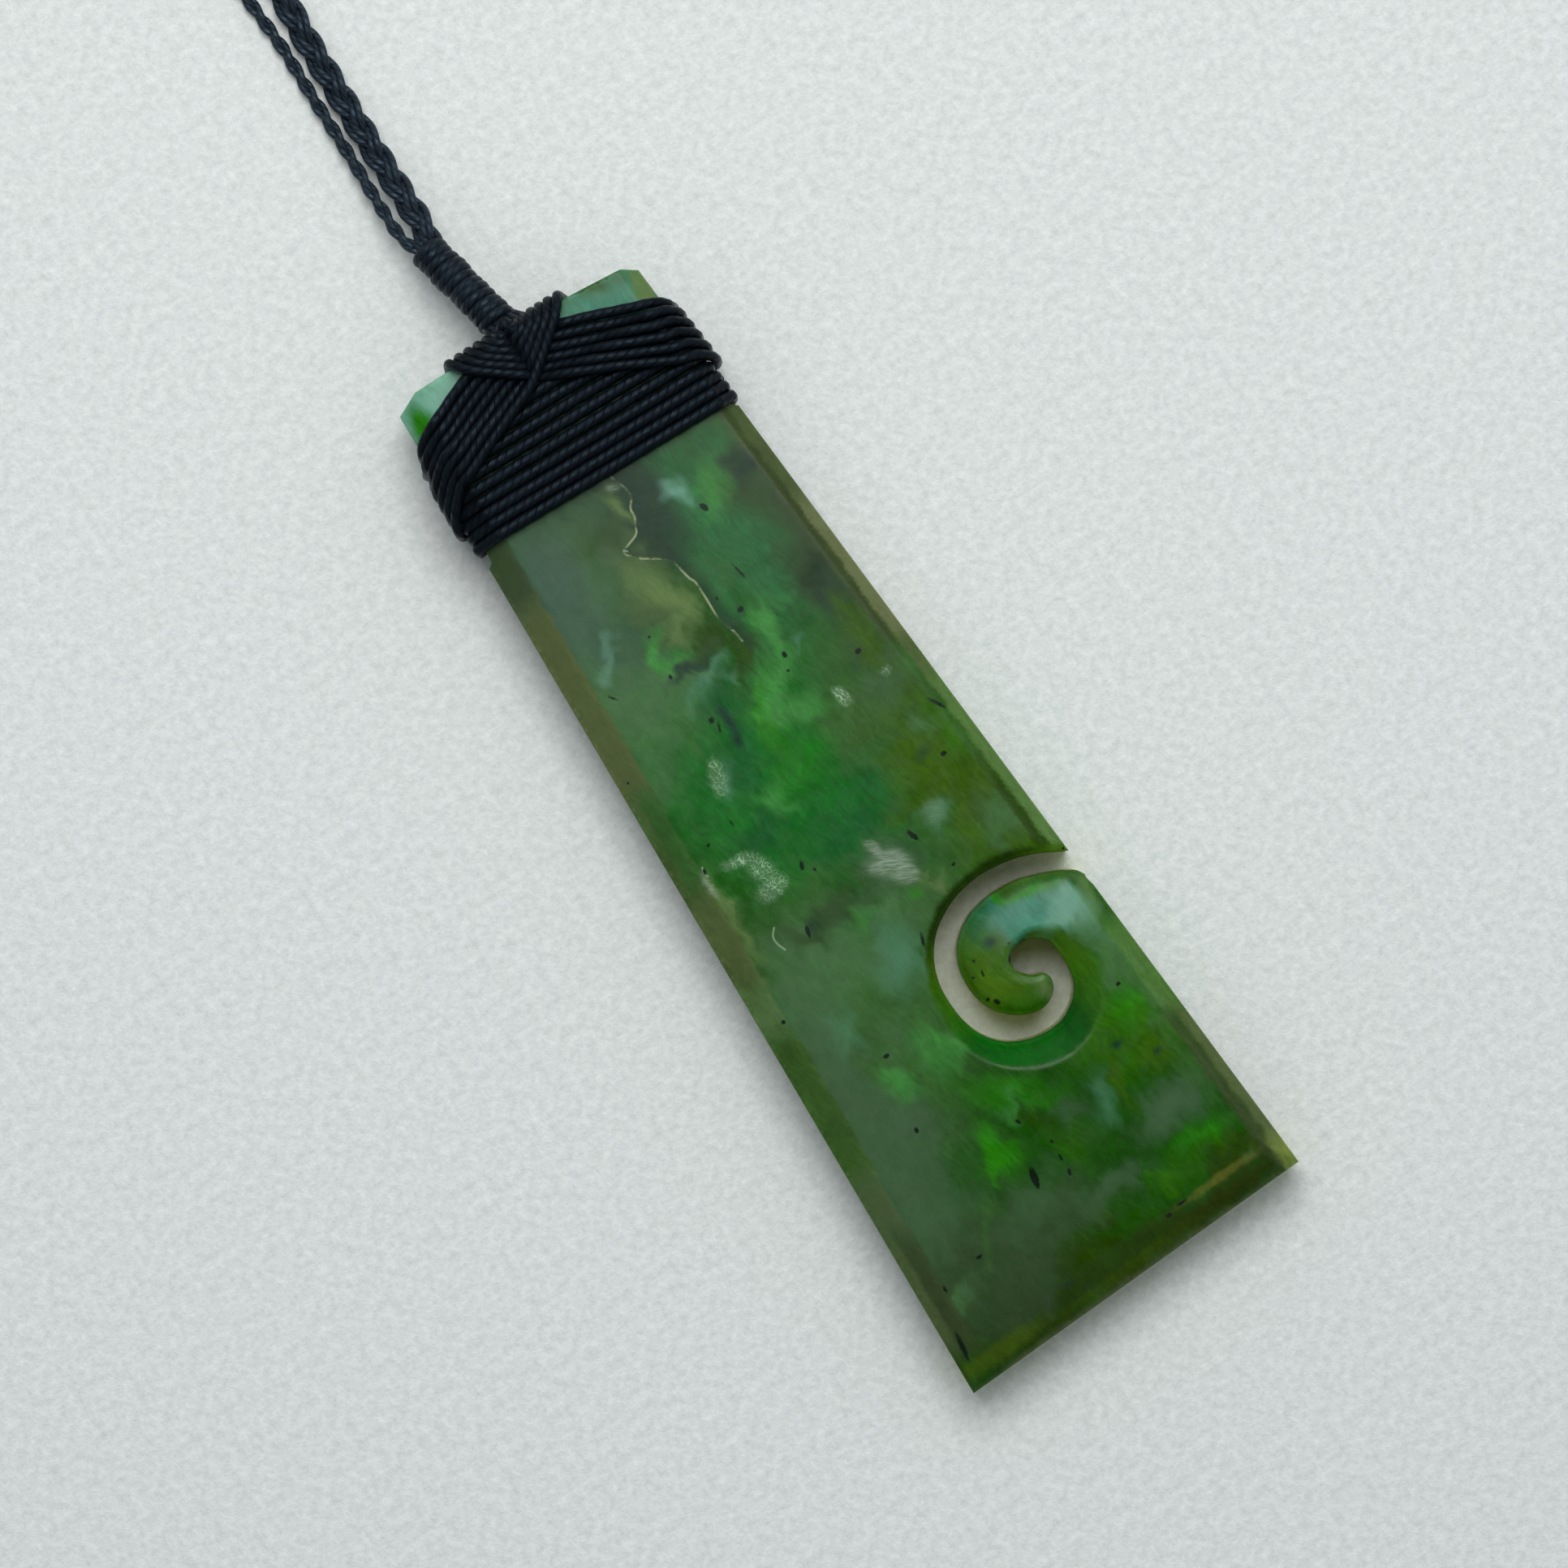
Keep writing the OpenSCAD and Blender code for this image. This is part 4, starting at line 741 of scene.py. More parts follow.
def greenstoneMaterial():
    g = greenstone
    stone = newMaterial("nephrite_hand_polished")
    coords = addNode(stone, "ShaderNodeTexCoord").outputs["Object"]
    tint = addNode(stone, "ShaderNodeAttribute", attribute_name="tint").outputs["Color"]
    mark = {name: addNode(stone, "ShaderNodeAttribute", attribute_name=name).outputs["Fac"]
            for name in ("lively", "walls", "crackSide", "crackLine", "lace", "chalk", "curve", "fleck")}
    # coordinates pushed about by 3 mm noise, so that the fibres sway
    wave = addNode(stone, "ShaderNodeTexNoise", {"Vector": coords, "Scale": 330, "Detail": 3})
    push = addNode(stone, "ShaderNodeVectorMath", {0: wave.outputs["Color"], 1: (0.002, 0.002, 0), 2: coords},
                   operation="MULTIPLY_ADD")
    # turned and drawn out: fibres 0.3 mm across and 1.8 mm long, and brushed strokes 0.14 mm wide and 1.1 mm long
    drawn = {name: addNode(stone, "ShaderNodeMapping", {"Vector": vector, "Rotation": (0, 0, math.radians(turn)),
                                                        "Scale": size}, vector_type="TEXTURE")
             for name, vector, turn, size in (("fibres", push, -g["lean"], (0.0003, 0.0018, 0.003)),
                                              ("strokes", coords, -25, (0.0011, 0.00014, 0.003)))}
    # murk of 2.4 mm in the stone, grit of 0.15 mm on the flecks' rims, and 1.1 mm waviness left by hand grinding
    noise = {name: addNode(stone, "ShaderNodeTexNoise", {"Vector": vector, "Scale": scale, "Detail": detail,
                                                         "Roughness": rough})
             for name, vector, scale, detail, rough in (
                 ("fibres", drawn["fibres"], 1, 6, 0.72), ("murk", push, 420, 5, 0.7),
                 ("strokes", drawn["strokes"], 1, 5, 0.65), ("grit", coords, 6500, 4, 0.7),
                 ("polish", coords, 900, 3, 0.5))}
    cells = addNode(stone, "ShaderNodeTexVoronoi", {"Vector": push, "Scale": 3000}, feature="DISTANCE_TO_EDGE")
    ragged = addNode(stone, "ShaderNodeMath", {0: noise["grit"], 1: 0.22, 2: mark["fleck"]}, operation="MULTIPLY_ADD")
    # each value from low to high turned smoothly to start to end; lace is the edges of 0.33 mm cells
    part = {name: addNode(stone, "ShaderNodeMapRange", {"Value": value, "From Min": low, "From Max": high,
                                                        "To Min": start, "To Max": end},
                          interpolation_type="SMOOTHSTEP")
            for name, value, low, high, start, end in (
                ("fibres", noise["fibres"], 0.27, 0.73, 0.78, 1.22), ("murk", noise["murk"], 0.25, 0.75, 0.85, 1.16),
                ("shade", mark["crackSide"], 1.3, 0.1, 0, 0.6), ("right", mark["crackSide"], -0.02, 0.06, 0, 1),
                ("line", mark["crackLine"], 0.12, 0.02, 0, 1), ("broken", noise["murk"], 0.42, 0.58, 0.02, 0.75),
                ("frayed", noise["fibres"], 0.35, 0.6, 0, 1), ("cellEdge", cells, 0.1, 0, 0, 1),
                ("stroke", noise["strokes"], 0.35, 0.65, 0.25, 0.85), ("curve", mark["curve"], 0.11, 0.02, 0, 0.45),
                ("fleck", ragged, 0.05, 0.14, 0, 0.95), ("gloss", noise["polish"], 0.3, 0.7, 0.2, 0.34))}
    both = {name: addNode(stone, "ShaderNodeMath", {0: one, 1: other}, operation="MULTIPLY")
            for name, one, other in (
                ("cloudy", part["fibres"], part["murk"]), ("crackShade", part["shade"], part["right"]),
                ("crackLine", part["line"], part["broken"]), ("thread", part["frayed"], part["cellEdge"]),
                ("chalk", mark["chalk"], part["stroke"]))}
    thread = addNode(stone, "ShaderNodeMapRange", {"Value": both["thread"], "To Min": 0.18},
                     interpolation_type="SMOOTHSTEP")
    lace = addNode(stone, "ShaderNodeMath", {0: mark["lace"], 1: thread}, operation="MULTIPLY")
    colour = addNode(stone, "ShaderNodeHueSaturation", {"Value": both["cloudy"], "Fac": mark["lively"], "Color": tint})
    # laid over the clouds: first a painted glow on the slot's walls and under the cutting edge, standing in for light
    # through the stone; then the crack, inclusions, curves and flecks
    for name, amount in (("walls", mark["walls"]), ("crackShade", both["crackShade"]),
                         ("crackLine", both["crackLine"]), ("lace", lace), ("chalk", both["chalk"]),
                         ("curve", part["curve"]), ("fleck", part["fleck"])):
        colour = addNode(stone, "ShaderNodeMix", {0: amount, 6: colour, 7: linearColour(g["marks"][name])},
                         data_type="RGBA")
    bump = addNode(stone, "ShaderNodeBump", {"Height": noise["polish"], "Strength": 0.35, "Distance": 0.00003})
    shader = addNode(stone, "ShaderNodeBsdfPrincipled", {
        "Base Color": colour, "Roughness": part["gloss"], "Normal": bump, "IOR": 1.6, "Specular IOR Level": 0.12,
        "Subsurface Weight": 0.35, "Subsurface Radius": (0.6, 1.0, 0.4), "Subsurface Scale": 0.0018})
    addNode(stone, "ShaderNodeOutputMaterial", {"Surface": shader})
    return stone


makeStone(greenstoneMaterial())

# the lashing of waxed cord
lashing = {
    "cord": 0.38,            # half the height of the cord
    "straightSpread": 1.16,  # the straight turns are pressed wider than that
    "layer": (0.45, 1.3),    # middle of the first and second layer above the stone
    "turnY": [36.62, 35.68, 34.7, 33.72, 32.72, 31.75, 30.85, 30.0, 29.12],   # each turn at the middle of the front
    "turnFall": 0.38,        # how far a turn falls from the middle to the right side
    "threadTwist": 4.6,      # mm of cord in one turn of its twist
    # strands that start on the left of the narrow end and run to the right side, outermost first
    "fromLeft": {"start": [-5.15, -4.3, -3.5, -2.7, -1.95, -1.3], "fanX": 5.0,
                 "fan": [34.9, 35.7, 36.55, 37.4, 38.3, 39.2], "rim": [32.75, 33.8, 34.8, 35.8, 36.7, 37.65],
                 "side": [31.5, 32.6, 33.65, 34.6, 35.6, 36.55]},
    # and those that start on the right and run to the left side
    "fromRight": {"start": [3.95, 3.15, 2.4, 1.7, 1.05, 0.45, -0.1], "fanX": -6.0,
                  "fan": [35.3, 36.05, 36.8, 37.55, 38.3, 39.05, 39.85],
                  "rim": [34.2, 34.95, 35.75, 36.5, 37.3, 38.05, 38.85],
                  "side": [31.1, 32.2, 33.2, 34.2, 35.2, 36.2, 37.1]},
    "cross": (-0.5, 37.6),   # where the outermost two cross, and how much higher each further pair does
    "crossPitch": 0.73,
}


def unitRows(v):
    return v / np.linalg.norm(v, axis=1, keepdims=True)


def sweepCord(stations, radius, twist, around=12, plies=0.035, spread=1.0):
    # a three-ply cord along a path: each row is a point and a direction square to the path, up from what it lies
    # on. Ring angle f gives radius * (1 + plies * cos(3 * (f - turn))), turn growing by one round per twist length,
    # and spread widens the cord along what it lies on
    line, lead = stations[:, :3], stations[:, 3:6]
    tangent = unitRows(np.gradient(line, axis=0))
    across = unitRows(np.cross(tangent, lead))
    up = np.cross(across, tangent)
    run = alongLine(line)
    f = np.arange(around) * 2 * np.pi / around
    turn = 2 * np.pi * run[:, None] / twist
    r = radius * (1 + plies * np.cos(3 * (f - turn)))
    sideways, upwards = spread * r * np.cos(f), r * np.sin(f)
    rings = line[:, None] + sideways[..., None] * across[:, None] + upwards[..., None] * up[:, None]
    # thread coordinates in mm: across the cord, turning with its plies, and along it
    thread = np.stack([np.cos(f - turn) * radius, np.sin(f - turn) * radius, np.broadcast_to(run[:, None], r.shape)],
                      axis=2)
    count = len(line)
    points = np.vstack([rings.reshape(-1, 3), line[:1], line[-1:]])
    thread = np.vstack([thread.reshape(-1, 3), [[0, 0, 0]], [[0, 0, run[-1]]]])
    i, k = np.meshgrid(np.arange(count - 1), np.arange(around), indexing="ij")
    a, b = i * around + k, i * around + (k + 1) % around
    walls = np.stack([a, b, b + around, a + around], axis=2).reshape(-1, 4)
    k, last = np.arange(around), (count - 1) * around
    m, tip = (k + 1) % around, np.full(around, count * around)
    caps = np.vstack([np.stack([m, k, tip], axis=1), np.stack([k + last, m + last, tip + 1], axis=1)])
    return points, [walls, caps], thread


def cordPiece(name, tubes, material, node):
    # several swept cords as one piece, with their thread coordinates kept for the material
    faces, shift = [], 0
    for points, tubeFaces, _ in tubes:
        faces += [f + shift for f in tubeFaces]
        shift += len(points)
    piece = meshPiece(name, np.vstack([tube[0] for tube in tubes]), faces, material)
    thread = np.vstack([tube[2] for tube in tubes]).astype(np.float32)
    piece.data.attributes.new("thread", "FLOAT_VECTOR", "POINT").data.foreach_set("vector", thread.ravel())
    dressNode(piece, node)
    print(name, "made,", shift, "points")


def eased(line, rounds):
    # the line with its kinks rubbed out: each point becomes (before + 2 * itself + after) / 4, so many rounds
    for _ in range(rounds):
        line = np.vstack([line[:1], (line[:-2] + 2 * line[1:-1] + line[2:]) / 4, line[-1:]])
    return line


def backHeight(y):
    start, rise, run = stoneShape["backTaper"]
    return max(0.0, (y - start) * rise / run)


def sideArc(x, z, y0, y1, h, a0, a1, n=4):
    # stations h above a lengthwise edge of the stone at (x, z), round from angle a0 to a1: 0 faces the front, 90 the
    # right side and 180 the back
    rows = []
    for u in np.linspace(0, 1, n):
        a = math.radians(a0 + (a1 - a0) * u)
        d = np.array([math.sin(a), 0, math.cos(a)])
        rows.append([*(np.array([x, y0 + (y1 - y0) * u, z]) + h * d), *d])
    return rows


def sideFrames(side, y):
    # x of the seat and of the long bevel's upper line, height of the bevel's foot, and its tilt, on one side
    s = stoneShape
    width = s["rightBevel"] if side > 0 else s["leftBevel"]
    edge = rightX(y) if side > 0 else leftX(y)
    depth = np.interp(y, [s["seatBottom"], s["seatTopRight"]], [s["seatShallow"], s["seatDepth"]])
    foot = s["thickness"] - s["bevelDrop"] * (width - depth) / width
    return edge - side * depth, edge - side * width, foot, math.degrees(math.atan2(s["bevelDrop"], width))


def makeStraightWraps(material):
    # one cord wound round and round, each turn falling a little to the right
    h, fall = lashing["layer"][0], lashing["turnFall"]
    top, ys = stoneShape["thickness"], lashing["turnY"]
    rows = []
    for k, y in enumerate(ys):
        high, low = y + fall, y - fall
        seat, upper, foot, tilt = sideFrames(-1, high)
        rows += sideArc(seat, backHeight(high), high, high, h, -180, -90)
        rows += sideArc(seat, foot, high, high, h, -90, -tilt)
        rows += sideArc(upper, top, high, high, h, -tilt, 0, 3)
        rows += [[x, y - fall * x / 9, top + h, 0, 0, 1] for x in (-4, 0, 4)]
        seat, upper, foot, tilt = sideFrames(1, low)
        rows += sideArc(upper, top, low, low, h, 0, tilt, 3)
        rows += sideArc(seat, foot, low, low, h, tilt, 90)
        rows += sideArc(seat, backHeight(low), low, low, h, 90, 180)
        if k + 1 < len(ys):
            middle = (low + ys[k + 1] + fall) / 2
            rows += [[0, middle, backHeight(middle) - h, 0, 0, -1]]
    line = eased(smoothCurve(rows[3:], 0.24), 3)
    tube = sweepCord(line, lashing["cord"], lashing["threadTwist"], spread=lashing["straightSpread"])
    cordPiece("straight_lashing", [tube], material, "straight_wraps")


def pollY(x):
    return float(np.interp(x, *np.array(stoneShape["poll"][::-1]).T))


def slantStrand(side, i):
    # one strand over the narrow end, down across the front and round the side; side is where it ends
    group = lashing["fromLeft"] if side > 0 else lashing["fromRight"]
    low, high = lashing["layer"]
    top = stoneShape["thickness"]
    x0, (cx, cy) = group["start"][i], lashing["cross"]
    y0, cy = pollY(x0), cy + lashing["crossPitch"] * i
    # over the end: from the back to the front
    rows = [[x0 - side * 0.4, y0 + low * 0.3, backHeight(y0) - low, 0, 0.5, -1],
            [x0 - side * 0.25, y0 + low, 3.6, 0, 1, 0], [x0 - side * 0.1, y0 + low, 5.6, 0, 1, 0.2],
            [x0, y0 + 0.25, top + 0.35 + 0.3 * low, 0, 0.7, 0.7]]
    # down the front, to the crossing and out to the side
    path = [(x0 + (cx - x0) * u, y0 - 0.15 + (cy - y0 + 0.15) * u) for u in (0.2, 0.5, 0.75)]
    path += [(cx - side * 0.45, cy + 0.42), (cx - side * 0.17, cy + 0.15), (cx + side * 0.17, cy - 0.12)]
    seat, upper, foot, tilt = sideFrames(side, group["rim"][i])
    rim, down = group["rim"][i], group["side"][i]
    leave, fan, arrive = np.array([(cx + side * 0.5, cy - 0.36), (group["fanX"], group["fan"][i]), (upper, rim)])
    path += [leave] + [leave + (fan - leave) * u for u in (0.2, 0.45, 0.7, 1)] + [fan + (arrive - fan) * 0.5]
    for x, y in path:
        # the higher layer in its own arm, the lower past the crossing, the higher again over the straight turns
        dive = 0 if side < 0 and i == 0 else smoothStep(0.5 + side * (x - (cx - 0.17)) / 0.7)
        climb = smoothStep((37.5 - y) / 1.1)
        rows.append([x, y, top + high + (low - high) * dive * (1 - climb), 0, 0, 1])
    hold = high if rim < 37.2 else low + (high - low) * 0.35
    holdDown = high if down < 36.6 else low + (high - low) * 0.5
    rows += sideArc(upper, top, rim, rim - 0.1, hold, 0, side * tilt, 3)
    rows += sideArc(seat, foot, (rim + down) / 2, down + 0.1, (hold + holdDown) / 2, side * tilt, side * 90)
    return rows + sideArc(seat, backHeight(down), down, down, holdDown, side * 90, side * 180)


def backStations(side, down, nextX):
    # up the back from one side to the narrow end, off the straight turns on to the stone
    low, high = lashing["layer"]
    a, b = np.array([sideFrames(side, down)[0], down]), np.array([nextX + side * 0.4, pollY(nextX)])
    rows = []
    for u in (0.15, 0.4, 0.65, 0.88):
        x, y = a + (b - a) * u
        rows.append([x, y, backHeight(y) - high - (low - high) * smoothStep((y - 36.1) / 1.3), 0, 0, -1])
    return rows


def makeSlantWraps(material):
    # one cord in figures of eight: right start to left side, up the back, left start to right side, and so on
    left, right = lashing["fromLeft"], lashing["fromRight"]
    rows = slantStrand(-1, 0)
    for k in range(6):
        rows += backStations(-1, right["side"][k], left["start"][5 - k]) + slantStrand(1, 5 - k)
        rows += backStations(1, left["side"][5 - k], right["start"][k + 1]) + slantStrand(-1, k + 1)
    tube = sweepCord(eased(smoothCurve(rows, 0.25), 6), lashing["cord"], lashing["threadTwist"])
    cordPiece("crossed_lashing", [tube], material, "slant_wraps")


# the whipping at the stone and the one that joins the neck loop
whipping = {
    "start": (-0.5, 42.25, 4.9), "end": (-2.1, 50.25, 3.1),
    "diameter": 2.86, "cord": 0.3, "spread": 1.35, "turns": 12.5, "twist": 4.4,
    "endGap": 0.38,          # from each end to the middle of the cord's first turn
    "joinStart": (-5.5, 268, 1.43), "joinEnd": (5.5, 268, 1.43), "joinTurns": 17,
    # strands that come up out of the lashing into the whipping: offset across it, and half their thickness
    "neckStrands": [-1.15, -0.7, -0.25, 0.25, 0.7, 1.1], "neckCord": 0.34,
}


def whippingTubes(start, end, turns):
    # a helix of cord on a core, its radius and pitch a little uneven from turn to turn
    w = whipping
    a, b = np.array(start, dtype=float), np.array(end, dtype=float)
    length = np.linalg.norm(b - a)
    axis = (b - a) / length
    across = np.cross(axis, [0, 0, 1])
    across /= np.linalg.norm(across)
    up = np.cross(across, axis)
    turn = np.arange(0, turns - 0.9, 1 / 40)
    f = 2 * np.pi * turn
    pitch = (length - 2 * w["endGap"]) / (turns - 0.9)
    along = w["endGap"] + turn * pitch + 0.07 * np.sin(turn * 2.1) + 0.04 * np.sin(f)
    r = w["diameter"] / 2 - w["cord"] + 0.04 * np.sin(turn * 1.7 + 1) + 0.03 * np.sin(2 * f + turn)
    out = np.cos(f)[:, None] * across + np.sin(f)[:, None] * up
    line = a + along[:, None] * axis + r[:, None] * out
    core = resample(np.array([a + 0.1 * axis, b - 0.1 * axis]), 0.4)
    core = np.column_stack([core, np.broadcast_to(across, (len(core), 3))])
    return [sweepCord(np.column_stack([line, out]), w["cord"], w["twist"], spread=w["spread"]),
            sweepCord(core, r.mean() - 0.1, 9, 24, 0)]


def neckTubes():
    # strands that fan out of the foot of the whipping and dive under the crossed lashing
    w = whipping
    tubes = []
    for d in w["neckStrands"]:
        low = 0.35 * abs(d)
        rows = [(-0.85 + 0.75 * d, 44, 4.7, 0, 0, 1), (-0.6 + 0.85 * d, 42.9, 5.4 - low, 0, 0.3, 1),
                (-0.3 + 1.15 * d, 42.05, 6.4 - low, 0, 0.6, 1), (-0.05 + 1.35 * d, 41.3, 7.35 - low, 0, 0.5, 1),
                (0.1 + 1.1 * d, 40.5, 7.5 - 0.5 * low, 0, 0, 1), (0.15 + 0.7 * d, 39.6, 7.2, 0, 0, 1)]
        tubes.append(sweepCord(smoothCurve(rows, 0.25), w["neckCord"], w["twist"]))
    return tubes


plaits = {
    # the middle of each plait, from the whipping round to the join, as its solid runs: y for both, x for each, and
    # z over the table, which stays the same from its last height in "rise" to its first in "join"
    "y": [49.3, 50.6, 52, 55, 59, 64, 70, 77, 86, 96, 107, 118, 130, 144, 160, 178, 197, 216, 234, 249, 260, 266, 268,
          268],
    "thick": {
        "x": [-1.7, -1.5, -1.35, -1.3, -1.25, -1.1, -0.8, 0.2, 4, 11, 21, 33, 46, 59, 71, 79, 82, 79, 70, 57, 41, 24,
              12, 5.0],
        "rise": [3.25, 3, 2.6, 1.9, 1.2, 0.8, 0.72, 0.7], "join": [0.95, 1.35],
        "swing": 0.56, "lift": 0.33, "period": 7.5, "cord": 0.27, "pair": 0.23, "turn": 14, "phase": 0.0},
    "thin": {
        "x": [-2.3, -2.75, -3.15, -3.15, -3, -2.9, -2.8, -3.6, -7, -14, -24, -36, -49, -61, -72, -79, -81, -78, -70,
              -57, -41, -24, -12, -5.0],
        "rise": [3.2, 2.95, 2.4, 1.6, 0.9, 0.6, 0.5], "join": [0.85, 1.35],
        "swing": 0.27, "lift": 0.2, "period": 5.4, "cord": 0.235, "pair": 0, "turn": 25, "phase": 1.0},
}


def plaitTubes(p):
    # three strands a third of a period apart: across = swing * sin(p), up = -lift * sin(2p), so that each passes
    # over as it comes in from the side; a strand of two cords has them side by side
    y, rise, join = plaits["y"], p["rise"], p["join"]
    level = rise[-1:] * (len(y) - len(rise) - len(join))
    line = smoothCurve(np.stack([p["x"], y, rise + level + join], axis=1), 0.3)
    run = alongLine(line)
    tangent = unitRows(np.gradient(line, axis=0))
    across = unitRows(np.cross(tangent, [0, 0, 1]))
    up = np.cross(across, tangent)
    c, s = math.cos(math.radians(p["turn"])), math.sin(math.radians(p["turn"]))
    across, up = across * c + up * s, up * c - across * s
    drawn = 1 - 0.35 * np.exp(-run / 0.8) - 0.35 * np.exp(-(run[-1] - run) / 0.8)       # pulled in at both ends
    tubes = []
    for k in range(3):
        phase = p["phase"] - 2 * np.pi * run / p["period"] + 2 * np.pi * k / 3
        swing, lift = drawn * p["swing"] * np.sin(phase), drawn * p["lift"] * np.sin(2 * phase)
        strand = line + swing[:, None] * across - lift[:, None] * up
        beside = unitRows(np.cross(unitRows(np.gradient(strand, axis=0)), up))
        for sign in ((-1, 1) if p["pair"] else (0,)):
            path = strand + sign * (drawn * p["pair"])[:, None] * beside
            tubes.append(sweepCord(np.column_stack([path, up]), p["cord"], 3.6 + 0.2 * k, 10))
    return tubes


def cordMaterial(name, patchy, wear, gleam):
    # waxed polyester thread: near black, with a cool gloss on the yarns, painted shade in the grooves between them, and
    # patches of duller wax
    cord = newMaterial(name)
    thread = addNode(cord, "ShaderNodeAttribute", attribute_name="thread").outputs["Vector"]
    part = addNode(cord, "ShaderNodeSeparateXYZ", {"Vector": thread})
    # the three plies are of two yarns each: |cos(3 * angle round the cord)|^0.3 is 1 on a yarn and 0 in a groove
    yarns = addNode(cord, "ShaderNodeMath", {0: part.outputs["Y"], 1: part.outputs["X"]}, operation="ARCTAN2")
    for operation, value in (("MULTIPLY", 3), ("COSINE", 0), ("ABSOLUTE", 0), ("POWER", 0.3)):
        yarns = addNode(cord, "ShaderNodeMath", {0: yarns, 1: value}, operation=operation)
    # fibres 0.07 mm thick and 0.6 mm long, running with the yarns, and patches of wax of about 1.5 mm
    drawn = addNode(cord, "ShaderNodeMapping", {"Vector": thread, "Scale": (9, 9, 1.1)})
    fibres = addNode(cord, "ShaderNodeTexNoise", {"Vector": drawn, "Scale": 1.6, "Detail": 3})
    wax = addNode(cord, "ShaderNodeTexNoise", {"Vector": thread, "Scale": patchy, "Detail": 3})
    height = addNode(cord, "ShaderNodeMath", {0: fibres, 1: 0.6, 2: yarns}, operation="MULTIPLY_ADD")
    worn = addNode(cord, "ShaderNodeMath", {0: fibres, 1: 0.9, 2: wax}, operation="MULTIPLY_ADD")
    # the grooves between the yarns get painted shade: the ramp runs from near black below 0.25 to the cord's own colour
    # on the yarn tops, varied by fibres and wax
    groovesShadedAndWaxed = addNode(cord, "ShaderNodeMath", {0: yarns, 1: worn}, operation="MULTIPLY")
    tint = addNode(cord, "ShaderNodeValToRGB", {"Fac": groovesShadedAndWaxed})
    tint.color_ramp.elements[0].position = 0.25
    tint.color_ramp.elements[0].color = linearColour("#030405")
    tint.color_ramp.elements[1].color = linearColour(wear)
    gloss = addNode(cord, "ShaderNodeMapRange", {"Value": wax, "From Min": 0.35, "From Max": 0.65,
                                                 "To Min": 0.3, "To Max": 0.55})
    bump = addNode(cord, "ShaderNodeBump", {"Height": height, "Strength": 0.8, "Distance": 0.00005})
    shader = addNode(cord, "ShaderNodeBsdfPrincipled", {
        "Base Color": tint, "Roughness": gloss, "Normal": bump, "Specular IOR Level": gleam,
        "Specular Tint": linearColour("#b4d4f0")})
    addNode(cord, "ShaderNodeOutputMaterial", {"Surface": shader})
    return cord


waxedCord = cordMaterial("waxed_polyester_cord", 0.7, "#161d25", 0.28)
# a darker, less glossy copy of the cord, used for the lashing
darkerCord = cordMaterial("waxed_cord_darker", 0.7, "#0a0f14", 0.2)
plaitedCord = cordMaterial("plaited_waxed_thread", 1.1, "#1f272f", 0.5)
makeStraightWraps(darkerCord)
makeSlantWraps(darkerCord)
w = whipping
cordPiece("neck_whipping_cord", whippingTubes(w["start"], w["end"], w["turns"]) + neckTubes(), waxedCord,
          "neck_whipping")
cordPiece("thick_plait_strands", plaitTubes(plaits["thick"]), plaitedCord, "thick_plait")
cordPiece("thin_plait_strands", plaitTubes(plaits["thin"]), plaitedCord, "thin_plait")
cordPiece("loop_join_cord", whippingTubes(w["joinStart"], w["joinEnd"], w["joinTurns"]), waxedCord,
          "loop_join")


def paperMaterial():
    # soft uncoated paper: pale, with fibres felted into faint 0.8 mm mottling
    paper = newMaterial("plain_paper")
    place = addNode(paper, "ShaderNodeTexCoord").outputs["Object"]
    felt = addNode(paper, "ShaderNodeTexNoise", {"Vector": place, "Scale": 1300, "Detail": 5, "Roughness": 0.75})
    shade = addNode(paper, "ShaderNodeMapRange", {"Value": felt, "From Min": 0.3, "From Max": 0.7})
    tone = addNode(paper, "ShaderNodeMix", {0: shade, 6: linearColour("#d2d7d5"), 7: linearColour("#eff2f0")},
                   data_type="RGBA")
    bump = addNode(paper, "ShaderNodeBump", {"Height": felt, "Strength": 0.6, "Distance": 0.00018})
    shader = addNode(paper, "ShaderNodeBsdfPrincipled", {"Base Color": tone, "Roughness": 0.9, "Normal": bump,
                                                        "Specular IOR Level": 0.2})
    addNode(paper, "ShaderNodeOutputMaterial", {"Surface": shader})
    return paper


floorHalf = 3000         # mm
floorCorners = np.array([(-1, -1, 0), (1, -1, 0), (1, 1, 0), (-1, 1, 0)]) * floorHalf
meshPiece("floor", floorCorners, [np.array([[0, 1, 2, 3]])], paperMaterial())

light = {
    # pale light from above, falling off towards the horizon, with the camera's own dark shape at the top
    "zenith": "#e9f0f4",
    "horizon": "#8b9296",
    "overhead": "#1e2326",
    "strength": 0.7,
    "brightSide": (0.7, 0.7, 0),     # towards the window, where the sky is the brighter
    "unevenness": 0.6,
    # a wide soft window, seen from the table: tilt off the zenith and turn from the photo's upward direction
    "window": {"tilt": 26, "turn": -6, "distance": 0.47, "size": 0.34, "power": 1.5, "colour": "#fcfcfa"},
}


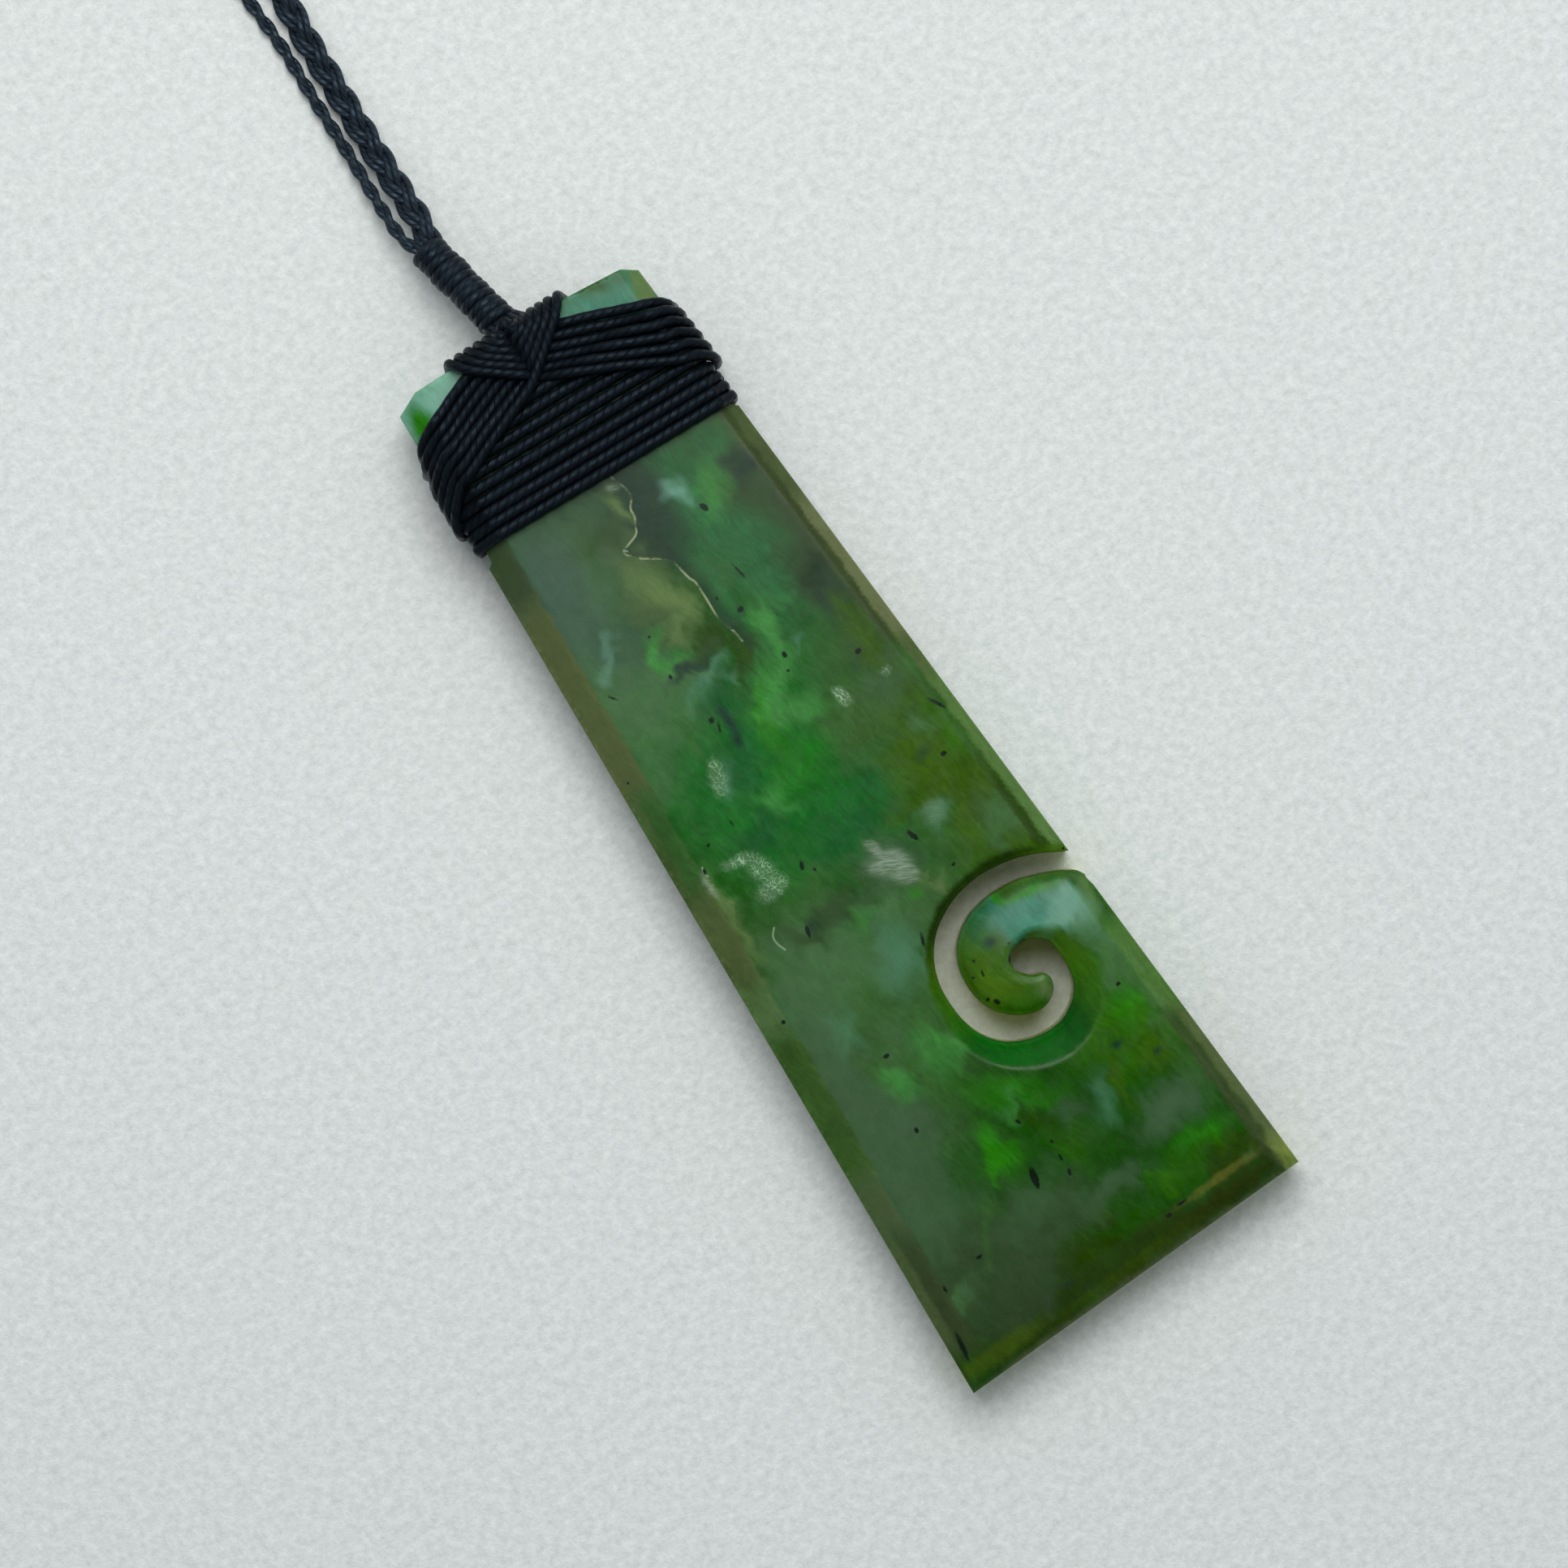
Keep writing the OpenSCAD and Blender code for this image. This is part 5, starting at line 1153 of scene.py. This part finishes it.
def makeCamera():
    camera = bpy.data.objects.new("camera", bpy.data.cameras.new("camera"))
    bpy.context.scene.collection.objects.link(camera)
    camera.data.lens = view["lens"]
    camera.data.sensor_width = view["sensor"]
    distance = view["width"] * view["lens"] / view["sensor"] + stoneShape["thickness"]
    camera.location = Vector((*view["centre"], distance)) * mm
    camera.rotation_euler = (0, 0, -math.atan2(*view["up"]))
    camera.data.clip_start = 0.01
    camera.data.clip_end = 10
    bpy.context.scene.camera = camera


def makeSky():
    world = bpy.data.worlds.new("studio")
    bpy.context.scene.world = world
    world.use_nodes = True
    world.node_tree.nodes.clear()
    direction = addNode(world, "ShaderNodeTexCoord").outputs["Generated"]
    split = addNode(world, "ShaderNodeSeparateXYZ", {"Vector": direction})
    ramp = addNode(world, "ShaderNodeValToRGB", {"Fac": split.outputs["Z"]})
    for k, height, tone in ((0, 0.25, "horizon"), (1, 0.8, "zenith")):
        ramp.color_ramp.elements[k].position = height
        ramp.color_ramp.elements[k].color = linearColour(light[tone])
    for height, tone in ((0.88, "zenith"), (0.94, "overhead")):
        ramp.color_ramp.elements.new(height).color = linearColour(light[tone])
    towards = addNode(world, "ShaderNodeVectorMath", {0: direction, 1: light["brightSide"]}, operation="DOT_PRODUCT")
    strength, uneven = light["strength"], light["unevenness"]
    share = addNode(world, "ShaderNodeMapRange", {"Value": towards, "From Min": -1, "From Max": 1,
                                                  "To Min": strength * (1 - uneven), "To Max": strength * (1 + uneven)})
    sky = addNode(world, "ShaderNodeBackground", {"Color": ramp, "Strength": share})
    addNode(world, "ShaderNodeOutputWorld", {"Surface": sky})


def makeWindow():
    w = light["window"]
    lamp = bpy.data.lights.new("window", "AREA")
    lamp.shape = "DISK"
    lamp.size = w["size"]
    lamp.energy = w["power"]
    lamp.color = linearColour(w["colour"])[:3]
    window = bpy.data.objects.new("window", lamp)
    bpy.context.scene.collection.objects.link(window)
    turn, tilt = math.atan2(*view["up"]) + math.radians(w["turn"]), math.radians(w["tilt"])
    towards = Vector((math.sin(turn) * math.sin(tilt), math.cos(turn) * math.sin(tilt), math.cos(tilt)))
    window.location = towards * w["distance"]
    window.rotation_euler = towards.to_track_quat("Z", "Y").to_euler()


makeCamera()
makeSky()
makeWindow()
bpy.context.scene.view_settings.view_transform = "Standard"
print("camera and lights set")
